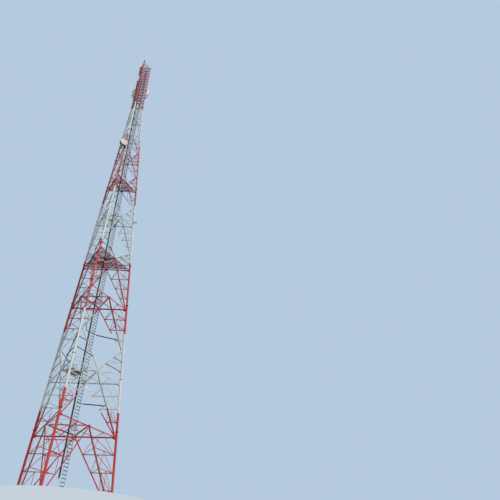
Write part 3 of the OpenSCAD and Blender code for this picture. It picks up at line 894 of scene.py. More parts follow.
@dataclass(frozen=True)
class Casting(Finish):
    """Dark cast housing or grip with a fine grain."""

    slot: str = "dark_housing"
    dark: Colour = (0.035, 0.037, 0.04)
    pale: Colour = (0.10, 0.10, 0.10)
    dust: Dust = Dust((0.34, 0.31, 0.26), (0.3, 0.9), 0.5, 25.0, 3)

    def make(self, sheet: NodeSheet) -> bpy.types.Material:
        """Make the material.

        Args:
            sheet: The material's own sheet.

        Returns:
            The material.
        """
        worn = sheet.shown(Wear(9.0, 5, (0.35, 0.75)))
        colour = sheet.dusted(sheet.mix(worn, self.dark, self.pale), self.dust)
        roughness = sheet.grey(sheet.noise(Wear(40.0, 3)), (0.2, 0.8), 0.5, 0.75)
        return sheet.dress(colour, roughness, 0.0, sheet.noise(Wear(400.0, 2)), 0.2, 0.0005)


LADDER_TURN, LADDER_X, LADDER_Y = 60.0, 0.066, -0.135
VALLEYS = [p for p in PANELS if p.pattern is Pattern.VALLEY]
# Painted shade: the valley shorts and the middle deck's ring, which are seen dark from below.
SHADE_LEVELS = sorted([TOWER.rings[3]] + [p.level(k) for p in VALLEYS for k in range(1, p.steps)])

PAINT = BandPaint("band_paint")
# Painted shade: a darker copy of the band paint for the left and right faces, with painted shade on the bars
# at the shade levels.
SHADED_SIDE_PAINT = BandPaint("shaded_side_paint", red=(0.47, 0.012, 0.011), red_faded=(0.41, 0.032, 0.031),
                       white=(0.58, 0.60, 0.59), white_faded=(0.48, 0.50, 0.49),
                       shade_levels=tuple(SHADE_LEVELS))
# Painted shade: a darker, more purple copy for the top panels, whose purple grime colour also serves the
# painted shade on undersides.
SHADED_TOP_PAINT = BandPaint("shaded_top_paint", red=(0.44, 0.014, 0.026), red_faded=(0.38, 0.032, 0.048),
                      grime_and_shade=(0.09, 0.03, 0.045), underside_shade=0.35)
# Painted light: a paler white copy for the back face, with no painted shade on undersides.
LIT_BACK_PAINT = BandPaint("lit_back_paint", white=(0.88, 0.90, 0.89), white_faded=(0.78, 0.80, 0.80),
                       underside_shade=0.0)
# Painted shade: a very dark copy for the plan frames, which are seen from below, with nearly full painted
# shade on undersides.
SHADED_PLAN_PAINT = BandPaint("shaded_plan_paint", red=(0.11, 0.018, 0.016), red_faded=(0.08, 0.022, 0.02),
                       white=(0.34, 0.35, 0.35), white_faded=(0.26, 0.27, 0.27), grime_and_shade=(0.035, 0.022, 0.02),
                       underside_shade=0.92)
BOLT_PAINT = BandPaint("bolt_paint", rust_from=0.50)
# More rust on the decks, and more painted shade on their undersides, in a dark red-brown.
DECK_PAINT = BandPaint("deck_paint", rust_from=0.42, underside_shade=0.72, grime_and_shade=(0.13, 0.045, 0.03))
# Painted shade: the ladder, tray, strut and joist zinc below are far darker than zinc, for parts seen dark
# against the sky from below; the ladder's pale rails are paint.
LADDER_ZINC = Zinc("ladder_zinc", pale=(0.060, 0.061, 0.063), dark=(0.022, 0.022, 0.023),
                   rail=(0.62, 0.64, 0.64))
TRAY_ZINC = Zinc("tray_zinc", pale=(0.10, 0.102, 0.105), dark=(0.04, 0.041, 0.042))
STRUT_ZINC = Zinc("strut_zinc", pale=(0.085, 0.088, 0.092), dark=(0.03, 0.031, 0.033))
JOIST_ZINC = Zinc("joist_zinc", pale=(0.035, 0.026, 0.024), dark=(0.014, 0.011, 0.011))
REST_ZINC = Zinc("rest_deck_zinc", pale=(0.13, 0.11, 0.085), dark=(0.02, 0.018, 0.016))
BRACKET_ZINC = Zinc("bracket_zinc", pale=(0.17, 0.165, 0.16), dark=(0.06, 0.058, 0.056), rust_share=0.65)
ANCHOR_ZINC = Zinc("anchor_zinc", pale=(0.30, 0.30, 0.29), dark=(0.12, 0.12, 0.12), rust_share=0.9)
# The dish's shell gets painted shade on its drum; the antennas' shell glows faintly as painted light.
DISH_SHELL = Shell("dish_shell", pale=(0.56, 0.52, 0.41), worn=(0.44, 0.405, 0.315), front_turn=-57.0)
ANTENNA_SHELL = Shell("antenna_shell", pale=(0.46, 0.47, 0.48), worn=(0.40, 0.41, 0.42), painted_glow=0.25)
FEEDER_JACKET = Jacket("feeder_jacket")
RADIO_CASTING = Casting("radio_casting")
GRIP_RUBBER = Casting("grip_rubber", "black_jacket", (0.012, 0.012, 0.013), (0.03, 0.03, 0.03),
                      replace(RADIO_CASTING.dust, share=0.15))


@dataclass
class FrameDressing:
    """The CAD nodes that keep their shape, each with its finish."""

    nodes: dict[str, bpy.types.Object]
    finishes: tuple[tuple[str, Finish], ...] = (
        ("ladder_struts", STRUT_ZINC), ("*cable_ladder", TRAY_ZINC), ("*_ladder", LADDER_ZINC),
        ("dish_mount", BRACKET_ZINC), ("antenna_arms", BRACKET_ZINC), ("rest_platform", REST_ZINC),
        ("*_platform", DECK_PAINT), ("upper_plan_frames", SHADED_PLAN_PAINT), ("waist_plan_frame", SHADED_PLAN_PAINT),
        ("*_top_panel", SHADED_TOP_PAINT), ("back_*_panel", LIT_BACK_PAINT), ("*_panel", SHADED_SIDE_PAINT),
        ("dish", DISH_SHELL), ("*_antenna", ANTENNA_SHELL), ("feeder_cables", FEEDER_JACKET),
        ("radio_units", RADIO_CASTING), ("*", PAINT))

    def dress(self) -> None:
        """Give each node the material of the first finish whose pattern has its name."""
        for name, node in self.nodes.items():
            finish = next(finish for pattern, finish in self.finishes if fnmatch(name, pattern))
            node.data.materials.clear()
            node.data.materials.append(finish.material())
        log.info("dressed %d nodes of the frame", len(self.nodes))


@dataclass
class FaceFasteners:
    """Bolts, nuts and washers where the bars of one face meet its gusset plates."""

    face: Face
    head: float = 0.36
    smallest: float = 0.006
    cells: int = 14
    cell_bar: float = 0.028
    cell_lift: float = 0.042
    plate_rise: float = 1.05
    plate_reaches: Pair = (1.5, 0.75)
    plate_step: float = 0.4
    corner_slack: float = 0.03
    corner_reach: float = 1.2
    corner_rise: float = 1.25
    corner_slope: float = 0.5
    bolt_shares: tuple[float, ...] = (1.35, 1.0, 0.75, 0.9)
    thread_shares: tuple[Pair, ...] = ((0.52, 0.0), (0.45, 0.5))
    main_places: tuple[float, ...] = (0.45, 1.15, -0.45, -1.15)
    ring_places: tuple[float, ...] = (0.6, 1.3, -0.4, -1.05)
    short_places: tuple[float, ...] = (0.0, -0.6, -1.5)
    valley_places: Pair = (0.0, -0.35)
    valley_widening: float = 1.3
    hanger_places: Pair = (0.6, -0.7)
    hanger_share: float = 0.8
    diagonal_places: Pair = (0.8, -1.2)
    level_places: Pair = (0.0, -0.8)

    def on_plate(self, u: float, h: float) -> bool:
        """Tell whether a gusset plate of a ring, or of a valley's head, is at (u, h) on the face.

        Args:
            u: Distance from the face's middle.
            h: Height.

        Returns:
            Whether there is a plate.
        """
        for ring in (*TOWER.rings, *(p.high for p in VALLEYS)):
            width = TOWER.main_width(ring)
            rise = abs(h - ring) / width
            reach = self.plate_reaches[rise >= self.plate_step] * width
            if ring in TOWER.rings and rise < self.plate_rise and abs(u) < reach:
                return True
            inward = TOWER.bar_end(ring) - abs(u)
            top = self.corner_rise - self.corner_slope * max(0.0, inward) / width
            if -self.corner_slack < inward < self.corner_reach * width and rise < top:
                return True
        return False

    def along(self, sculptor: Sculptor, bar: Bar, width: float, places: tuple[float, ...],
              outside: bool = False) -> None:
        """Add bolts along a bar and along its twin on the other half of the face.

        Args:
            sculptor: What collects the forms.
            bar: The bar's ends, each as (u, h).
            width: The bar's width.
            places: Distances from the first end in bar widths, or from the second where below zero.
            outside: Whether the bar lies on the outer side of the plates.
        """
        (u0, h0), (u1, h1) = bar
        size = max(self.smallest, width * self.head / 2)
        sizes = tuple(size * share for share in self.bolt_shares)
        thread = [(size * radius, size * reach) for radius, reach in self.thread_shares]
        half = TOWER.gusset / 2
        for place in places:
            share = place * width / math.hypot(u1 - u0, h1 - h0) + (place < 0)
            u, h = u0 + (u1 - u0) * share, h0 + (h1 - h0) * share
            head, nut = -half if self.on_plate(u, h) else half, half + TOWER.bar
            if outside:
                head, nut = -nut, half
            for side in (-1, 1) if abs(u) > 1e-6 else (1,):
                outer, inner = (TOWER.face_point(self.face, side * u, h, depth) for depth in (head, nut))
                sculptor.bolt(outer, inner, TOWER.face_normal(self.face, h), sizes, thread)

    def build(self) -> None:
        """Build every fastener of the face: those of the panels, the rings and the top's cells."""
        sculptor = Sculptor(f"{self.face.name.lower()}_face_fasteners")
        for panel in PANELS:
            width = TOWER.main_width(panel.high)
            sub = TOWER.sub_share * width
            valley = panel.pattern is Pattern.VALLEY
            self.along(sculptor, panel.main(), width, self.main_places)
            short_width = sub * self.valley_widening if valley else sub
            places = self.valley_places if valley else self.short_places
            for bar in panel.shorts():
                self.along(sculptor, bar, short_width, places, outside=valley)
            for bar in panel.hangers():
                self.along(sculptor, bar, sub * self.hanger_share, self.hanger_places)
        for h in TOWER.rings:
            ring = ((0.0, h), (TOWER.bar_end(h), h))
            self.along(sculptor, ring, TOWER.main_width(h), self.ring_places)
        low = TOWER.taper_end + TOWER.flange + self.cell_lift
        pitch = (TOWER.height - 3 * TOWER.flange - self.cell_bar - low) / self.cells
        end = TOWER.bar_end(low)
        for h in (low + k * pitch for k in range(self.cells)):
            diagonal, level = ((end, h), (0.0, h + pitch)), ((0.0, h + pitch), (end, h + pitch))
            self.along(sculptor, diagonal, self.cell_bar, self.diagonal_places)
            self.along(sculptor, level, self.cell_bar, self.level_places)
        sculptor.finish(BOLT_PAINT)


@dataclass
class LegFasteners:
    """Bolts round the splice flanges of one leg, and the welds of its flanges and base."""

    leg: Leg
    splice_lift: float = 0.26
    counts: tuple[int, ...] = (12, 12, 12, 10, 10, 10, 8, 8)
    circle: float = 0.0145
    sizes: tuple[float, ...] = (0.0114, 0.0095, 0.008, 0.01)
    tail: tuple[Pair, ...] = ((0.0055, 0), (0.005, 0.006))
    plate: float = 0.024
    bead: tuple[Pair, ...] = ((-0.002, -0.001), (0.0055, 0.0), (0.004, 0.0035), (-0.002, 0.007))

    def weld(self, sculptor: Sculptor, h: float, lift: float) -> None:
        """Add a weld round the tube, beside a flange.

        Args:
            sculptor: What collects the forms.
            h: Height of the flange.
            lift: How far above it the weld is, below zero beneath.
        """
        axis = TOWER.leg_axis(self.leg, h)
        radius = TOWER.leg_radius(h + lift * 2)
        outline = [(radius + out, d) for out, d in self.bead]
        sculptor.lathe(TOWER.leg_point(self.leg, h) + axis * lift, axis * math.copysign(1, lift), outline, 32)

    def splice(self, sculptor: Sculptor, h: float, count: int) -> None:
        """Add the bolts of one splice.

        Args:
            sculptor: What collects the forms.
            h: Height of the splice.
            count: Number of bolts.
        """
        radius = TOWER.leg_radius(h - TOWER.flange) + self.circle
        u, v, w = (Vector(row) for row in Sculptor.basis(TOWER.leg_axis(self.leg, h)))
        for k in range(count):
            turn = 2 * math.pi * (k + 0.5) / count
            spot = TOWER.leg_point(self.leg, h) + (u * math.cos(turn) + v * math.sin(turn)) * radius
            sculptor.bolt(spot + w * TOWER.flange, spot - w * TOWER.flange, w, self.sizes, self.tail)

    def build(self) -> None:
        """Build the bolts and the welds of the leg."""
        name = self.leg.name.lower()
        bolts, welds = Sculptor(f"{name}_leg_fasteners"), Sculptor(f"{name}_leg_welds")
        for ring, count in zip(TOWER.rings, self.counts):
            self.splice(bolts, ring + self.splice_lift, count)
            for lift in (TOWER.flange, -TOWER.flange):
                self.weld(welds, ring + self.splice_lift, lift)
        self.weld(welds, 0.0, self.plate)
        self.weld(welds, TOWER.taper_end, TOWER.flange)
        self.weld(welds, TOWER.height - TOWER.flange, -0.0005)
        bolts.finish(BOLT_PAINT)
        welds.finish(PAINT, smooth=True)


@dataclass
class AnchorBolts:
    """Studs, nuts and washers that hold the base plates down."""

    plate: float = 0.024
    circle: float = 0.15
    count: int = 6
    stud_radius: float = 0.0115
    stud_top: float = 0.085
    thread_turns: int = 14
    thread_start: float = 0.034
    thread_edge: float = 0.0009
    root_share: float = 0.9
    tip_share: float = 0.75
    tip: float = 0.003
    washer: Pair = (0.028, 0.004)
    nut_radius: float = 0.021
    nuts: tuple[Pair, ...] = ((0.004, 0.019), (0.0235, 0.011))

    def thread(self) -> list[Pair]:
        """Give the stud's outline, with its thread above the nuts.

        Returns:
            Points as (radius, height).
        """
        radius, root = self.stud_radius, self.stud_radius * self.root_share
        start, end = self.plate + self.thread_start, self.stud_top - self.tip - 0.001
        outline = [(radius, 0.001)]
        for k in range(self.thread_turns):
            z = start + (end - start) * k / self.thread_turns
            outline += [(radius, z), (root, z + self.thread_edge)]
        return [*outline, (root, self.stud_top - self.tip), (radius * self.tip_share, self.stud_top)]

    def build(self) -> None:
        """Build the studs of all three base plates."""
        sculptor = Sculptor("anchor_studs")
        turns = [(leg, leg.value + 360 * (k + 0.5) / self.count) for leg in Leg for k in range(self.count)]
        for leg, turn in turns:
            foot = TOWER.leg_point(leg, 0) + heading(turn) * self.circle
            sculptor.lathe(foot, UP, self.thread(), 14)
            sculptor.lathe(foot + UP * self.plate, UP, [(self.washer[0], 0), self.washer], 12)
            for lift, height in self.nuts:
                sculptor.hexagon(foot + UP * (self.plate + lift), UP, self.nut_radius, height)
        sculptor.finish(ANCHOR_ZINC)


@dataclass
class CableLadderHardware:
    """Hangers that clamp the feeders to the cable ladder, and the boots at their ends."""

    axes: Axes = Axes.beside(120.0, 0.02, 0.035)
    rail_gap: float = 0.17
    rail: float = 0.016
    rung: float = 0.004
    feeder: float = 0.009
    count: int = 4
    foot: float = 1.3
    top_gap: float = 2.5
    top_step: float = 0.3
    pitch: float = 0.85
    hanger_bar: Pair = (0.004, 0.026)
    saddle: Pair = (0.014, 0.018)
    overhang: float = 0.04
    nut: Pair = (0.006, 0.005)
    boot: tuple[Pair, ...] = ((0.001, -0.05), (0.004, -0.045), (0.004, 0.0), (0.002, 0.01), (-0.0036, 0.03))

    def feeder_x(self, k: float) -> float:
        """Give where the kth feeder lies across the ladder."""
        return (k - (self.count - 1) / 2) * (self.rail_gap - self.rail - 2 * self.feeder) / self.count

    def feeder_top(self, k: int) -> float:
        """Give the height at which the kth feeder ends."""
        return TOWER.height - self.top_gap - self.top_step * k

    def hanger(self, sculptor: Sculptor, z: float) -> None:
        """Add one hanger bar with its saddles and bolts, where feeders still run.

        Args:
            sculptor: What collects the forms.
            z: Height of the hanger.
        """
        y = -self.rung - 2 * self.feeder - 0.0035
        last = sum(self.feeder_top(k) > z + 0.05 for k in range(self.count)) - 1
        if last < 0:
            return
        width = self.feeder_x(last) - self.feeder_x(0) + self.overhang
        middle = self.axes.at(self.feeder_x(last / 2), y, z)
        sculptor.block(middle, self.axes.rows, (width, *self.hanger_bar))
        for k in range(last + 1):
            saddle = self.axes.at(self.feeder_x(k), y + 0.006, z)
            sculptor.block(saddle, self.axes.rows, (2.6 * self.feeder, *self.saddle), 0.003)
        for k in range(last):
            spot = self.axes.at(self.feeder_x(k + 0.5), y - 0.002, z)
            sculptor.hexagon(spot, -self.axes.across, *self.nut)

    def build(self) -> None:
        """Build the hangers and the boots."""
        hangers, boots = Sculptor("feeder_hangers"), Sculptor("feeder_boots")
        z = self.foot + 0.25
        while z < TOWER.height - 2.0:
            self.hanger(hangers, z)
            z += self.pitch
        outline = [(self.feeder + out, d) for out, d in self.boot]
        y = -self.rung - self.feeder - TOWER.seat
        for k in range(self.count):
            for z, way in ((self.feeder_top(k), UP), (self.foot, -UP)):
                boots.lathe(self.axes.at(self.feeder_x(k), y, z), way, outline, 16)
        hangers.finish(BRACKET_ZINC)
        boots.finish(FEEDER_JACKET, smooth=True)


@dataclass
class LadderHardware:
    """Splice plates, U-bolts, rung welds and grips of the climbing ladder."""

    axes: Axes = Axes.beside(LADDER_TURN, LADDER_X, LADDER_Y)
    rail_gap: float = 0.24
    rail_thick: float = 0.008
    rung_pitch: float = 0.15
    top_gap: float = 0.7
    splices: tuple[float, ...] = (3.0, 6.0, 9.0, 15.0, 21.0, 24.0, 27.0)
    splice_plate: Point = (0.005, 0.027, 0.17)
    splice_bolts: tuple[float, ...] = (-0.065, -0.025, 0.025, 0.065)
    splice_head: Pair = (0.0065, 0.005)
    bow: tuple[Pair, ...] = (
        (-0.011, -0.034), (-0.011, 0.016), (-0.006, 0.0215), (0.006, 0.0215), (0.011, 0.016), (0.011, -0.034))
    bow_lift: float = 0.0085
    bow_wire: float = 0.003
    bow_nut: Pair = (0.0055, 0.004)
    bow_nut_y: float = -0.030
    bead: tuple[Pair, ...] = ((0.0143, 0.0), (0.0135, 0.0022), (0.0118, 0.003))
    grip: tuple[Pair, ...] = ((0.0122, 0.0), (0.0156, 0.003), (0.0156, 0.205), (0.0122, 0.208))

    def splice(self, sculptor: Sculptor, side: int, z: float) -> None:
        """Add a bolted plate where two lengths of a rail meet.

        Args:
            sculptor: What collects the forms.
            side: -1 or 1, the side of the ladder.
            z: Height in metres.
        """
        thick = self.splice_plate[0]
        face = (self.rail_gap + self.rail_thick) / 2
        middle = self.axes.at(side * (face + thick / 2), 0, z)
        sculptor.block(middle, self.axes.rows, self.splice_plate, 0.001)
        for dz in self.splice_bolts:
            head = self.axes.at(side * (face + thick), 0, z + dz)
            sculptor.hexagon(head, self.axes.along * side, *self.splice_head)

    def stand_off(self, sculptor: Sculptor, side: int, h: float) -> None:
        """Add a U-bolt round a rail where it crosses a plan frame.

        Args:
            sculptor: What collects the forms.
            side: -1 or 1, the side of the ladder.
            h: Height of the plan frame.
        """
        z = h + TOWER.main_width(h) / 2 + self.bow_lift
        x = side * self.rail_gap / 2
        sculptor.sweep([self.axes.at(x + dx, dy, z) for dx, dy in self.bow], self.bow_wire)
        for dx in (self.bow[0][0], self.bow[-1][0]):
            nut = self.axes.at(x + dx, self.bow_nut_y, z)
            sculptor.hexagon(nut, -self.axes.across, *self.bow_nut)

    def build(self) -> None:
        """Build the ladder's hardware."""
        hardware, welds, grips = Sculptor("ladder_hardware"), Sculptor("rung_welds"), Sculptor("rung_grips")
        count = int((TOWER.height - self.top_gap) / self.rung_pitch)
        rungs = [k * self.rung_pitch for k in range(1, count + 1)]
        for side in (-1, 1):
            for z in self.splices:
                self.splice(hardware, side, z)
            for h in TOWER.rings[:-1]:
                self.stand_off(hardware, side, h)
            for z in rungs:
                foot = self.axes.at(side * (self.rail_gap - self.rail_thick) / 2, 0, z)
                welds.lathe(foot, -self.axes.along * side, self.bead, 12)
        for z in rungs:
            grips.lathe(self.axes.at(-self.grip[-1][1] / 2, 0, z), self.axes.along, self.grip, 10)
        hardware.finish(BRACKET_ZINC)
        welds.finish(LADDER_ZINC, smooth=True)
        grips.finish(GRIP_RUBBER)


@dataclass
class PlanFasteners:
    """Upright bolts where the plan frames of the lower five levels meet the rings."""

    levels: tuple[float, ...] = TOWER.rings[:5]
    places: tuple[float, ...] = (-1.6, -0.55, 0.55, 1.6)
    head: float = 0.17
    bolt_shares: tuple[float, ...] = (1.35, 1.0, 0.8, 0.9)

    def build(self) -> None:
        """Build the bolts of every plan level."""
        sculptor = Sculptor("plan_fasteners")
        for h, face, place in product(self.levels, Face, self.places):
            width = TOWER.main_width(h)
            size = width * self.head
            reach = TOWER.face_reach(h) - (TOWER.gusset + width) / 2
            foot = TOWER.placed(*turned(reach, place * width, face.value), h + width / 2 - TOWER.bar)
            top = foot + UP * (2 * TOWER.bar + TOWER.seat)
            sculptor.bolt(top, foot, UP, tuple(size * share for share in self.bolt_shares))
        sculptor.finish(BOLT_PAINT)


@dataclass
class PlatformMesh:
    """Cross rods of the triangular decks' gratings, and the middle deck's joist."""

    turn: float = 60.0
    rod: float = 0.0045
    pitch: float = 0.045
    thickness: float = 0.025
    edge: float = 0.02
    shortest: float = 0.205
    step: float = 0.01
    decks: tuple[Pair, ...] = ((12.06, 0.04), (17.7, 0.005))
    slots: tuple[tuple[float, Pair, Pair], ...] = (
        (60.0, turned(0.150, -0.010, -60.0), (0.165, 0.060)),
        (120.0, turned(-0.041, 0.0, -120.0), (0.125, 0.060)))
    joist_ends: tuple[Pair, Pair] = ((-0.43, 0.107), (0.575, -0.452))
    joist_size: Pair = (0.05, 0.042)
    joist_drop: float = 0.0207

    def chord(self, h: float, offset: float) -> Pair | None:
        """Give where a rod across a deck starts and ends.

        Args:
            h: Height of the deck's ring.
            offset: Distance of the rod from the axis, square to it.

        Returns:
            The two ends measured along the rod, or nothing where it misses the deck.
        """
        reach = 2 * (TOWER.face_reach(h) - 1.3 * TOWER.main_width(h) - 0.010)
        corners = [turned(reach, 0, leg.value - self.turn) for leg in Leg]
        ends = [ta + (tb - ta) * (da - offset) / (da - db)
                for (da, ta), (db, tb) in zip(corners, corners[1:] + corners[:1])
                if (da - offset) * (db - offset) < 0]
        return (min(ends) + self.edge, max(ends) - self.edge) if len(ends) == 2 else None

    def in_slot(self, offset: float, t: float) -> bool:
        """Tell whether a place on a rod lies in one of the slots that the two ladders pass through.

        Args:
            offset: Distance of the rod from the axis.
            t: Distance along the rod.

        Returns:
            Whether the rod is cut out there.
        """
        for turn, (x, y), (half_length, half_width) in self.slots:
            along, across = turned(offset, t, self.turn - turn)
            if abs(along - x) < half_length and abs(across - y) < half_width:
                return True
        return False

    def clear_stretches(self, offset: float, start: float, end: float) -> list[Pair]:
        """List the stretches of a rod that no ladder passes through.

        Args:
            offset: Distance of the rod from the axis.
            start: Where the rod starts.
            end: Where it ends.

        Returns:
            The stretches that are long enough to reach a bearer.
        """
        places = np.arange(start, end, self.step)
        kept = []
        for inside, run in groupby(places, lambda t: self.in_slot(offset, t)):
            stretch = list(run)
            if not inside:
                kept.append((stretch[0], min(stretch[-1] + self.step, end)))
        return [(a, b) for a, b in kept if b - a > self.shortest]

    def rods(self, sculptor: Sculptor, h: float, bearer: float) -> None:
        """Add the cross rods of one deck.

        Args:
            sculptor: What collects the forms.
            h: Height of the deck's ring.
            bearer: Height of the bearer.
        """
        z = h + TOWER.main_width(h) / 2 + bearer + 2 * TOWER.seat + self.thickness - self.rod
        count = int(TOWER.leg_reach(h) / self.pitch)
        offsets = [k * self.pitch for k in range(-count, count + 1) if k]  # none through the corner
        for offset in offsets:
            ends = self.chord(h, offset)
            for stretch in self.clear_stretches(offset, *ends) if ends else ():
                places = [turned(offset, t, self.turn) for t in stretch]
                sculptor.sweep([TOWER.placed(x, y, z) for x, y in places], self.rod)

    def joist(self) -> None:
        """Build the joist that carries the middle deck beside the ladders, under the plan frame."""
        h = self.decks[0][0]
        z = h + TOWER.main_width(h) / 2 - self.joist_drop
        start, end = (TOWER.placed(x, y, z) for x, y in self.joist_ends)
        run = (end - start).normalized()
        sculptor = Sculptor("middle_deck_joist")
        rows = np.array([Vector((-run.y, run.x, 0)), UP, run])
        sculptor.block((start + end) / 2, rows, (*self.joist_size, (end - start).length), 0.004)
        sculptor.finish(JOIST_ZINC)

    def build(self) -> None:
        """Build the cross rods of both decks, and the joist."""
        sculptor = Sculptor("grating_rods")
        for h, bearer in self.decks:
            self.rods(sculptor, h, bearer)
        sculptor.finish(DECK_PAINT)
        self.joist()


@dataclass
class RestDeckDetail:
    """Toe strips and cross rods of the small rest platform beside the climbing ladder."""

    axes: Axes = Axes.beside(60.0, -0.71, 0.06, 5.7356)
    length: float = 0.78
    width: float = 0.42
    thickness: float = 0.025
    strip: Pair = (0.006, 0.07)
    rods: int = 8
    rod: float = 0.005
    inset: float = 0.012

    def build(self) -> None:
        """Build the strips and the rods."""
        sculptor = Sculptor("rest_deck_trim")
        thick, tall = self.strip
        for y in (-thick / 2, self.width + thick / 2):
            middle = self.axes.at(self.length / 2, y, tall / 2)
            sculptor.block(middle, self.axes.rows[[1, 2, 0]], (thick, tall, self.length), 0.001)
        for y in (self.width * k / (self.rods + 1) for k in range(1, self.rods + 1)):
            ends = (self.inset, self.length - self.inset)
            sculptor.sweep([self.axes.at(x, y, self.thickness - self.rod) for x in ends], self.rod)
        sculptor.finish(REST_ZINC)


@dataclass
class LadderStay:
    """The bent bar that runs from the right face past the cable ladder to the upper ladder strut."""

    height: float = 7.8052
    radius: float = 0.015
    route: tuple[Pair, ...] = ((0.205, -1.437), (0.110, -1.250), (0.034, -1.080), (0.010, -1.020),
                               (-0.086, -0.420), (-0.082, -0.345), (-0.040, -0.238), (0.095, -0.168))

    def build(self) -> None:
        """Build the bar."""
        sculptor = Sculptor("ladder_stay")
        sculptor.sweep([TOWER.placed(x, y, self.height) for x, y in self.route], self.radius, 10)
        sculptor.finish(STRUT_ZINC, smooth=True)


@dataclass
class DishDetail:
    """Rim bands, clips, back ribs and hub of the microwave dish."""

    turn: float = -57.0
    arm_turn: float = 193.0
    arm: float = 0.20
    middle: float = 20.33
    radius: float = 0.232
    depth: float = 0.21
    hub: float = 0.06
    pipe: float = 0.022
    band: tuple[Pair, ...] = ((0.0, 0.0), (0.004, 0.001), (0.004, 0.017), (0.0, 0.018))
    clips: int = 16
    clip: Point = (0.022, 0.005, 0.026)
    clip_bolt: Pair = (0.006, 0.004)
    rib_turns: tuple[float, ...] = (90, 150, 210, 270)
    rib: tuple[Pair, ...] = ((0.045, -0.159), (0.085, -0.154), (0.174, -0.104), (0.222, -0.080))
    rib_radius: float = 0.0055
    hub_ring: tuple[Pair, ...] = ((0.062, 0.0), (0.066, 0.003), (0.066, 0.010), (0.05, 0.013))

    def build(self) -> None:
        """Build the dish's small parts."""
        metal, shell = Sculptor("dish_fittings"), Sculptor("dish_rim_band")
        axis, side = heading(self.turn), heading(self.turn + 90)
        back = self.depth * 0.75
        centre = TOWER.leg_point(Leg.NEAR, self.middle) + heading(self.arm_turn) * self.arm
        centre += axis * (back + self.hub + self.pipe + TOWER.seat)
        outline = [(self.radius + out, d) for out, d in self.band]
        for lift in (self.depth * 0.1 + 0.001, self.depth / 2 - 0.022):
            shell.lathe(centre + axis * lift, axis, outline, 64, closed=True)
        for turn in (2 * math.pi * (k + 0.5) / self.clips for k in range(self.clips)):
            out = side * math.cos(turn) + UP * math.sin(turn)
            spot = centre + out * (self.radius + 0.006) + axis * (self.depth / 2 - 0.013)
            metal.block(spot, np.array([axis.cross(out), out, axis]), self.clip, 0.002)
            metal.hexagon(spot + out * self.clip[1] / 2, out, *self.clip_bolt)
        for turn in (math.radians(degrees) for degrees in self.rib_turns):
            out = side * math.cos(turn) + UP * math.sin(turn)
            metal.sweep([centre + out * r + axis * d for r, d in self.rib], self.rib_radius)
        metal.lathe(centre - axis * (back + 0.004), axis, self.hub_ring, 24)
        metal.finish(BRACKET_ZINC)
        shell.finish(DISH_SHELL, smooth=True)


@dataclass(frozen=True)
class Mast:
    """A pipe beside a leg that carries an antenna, and a radio unit where the leg's aerial has one."""

    leg: Leg
    arm_turn: float
    share: float
    reach: float
    facing: float
    drop: float
    radio: bool

    def name(self) -> str:
        """Give the name that the mast's pieces start with."""
        return self.leg.name.lower()

    def axes(self, turn: float) -> Axes:
        """Set axes on the pipe at the height of what it carries."""
        middle = TOWER.leg_point(self.leg, TOWER.taper_end + self.share * (TOWER.height - TOWER.taper_end))
        return Axes(turn, middle - UP * self.drop + heading(self.arm_turn) * self.reach)


MASTS = (
    Mast(Leg.NEAR, 190, 0.5186, 0.095, 215, 0.09, radio=False),
    Mast(Leg.LEFT, 175, 0.3217, 0.095, 235, 0.01, radio=True),
    Mast(Leg.RIGHT, 10, 0.3217, 0.115, 305, -0.16, radio=True),
)


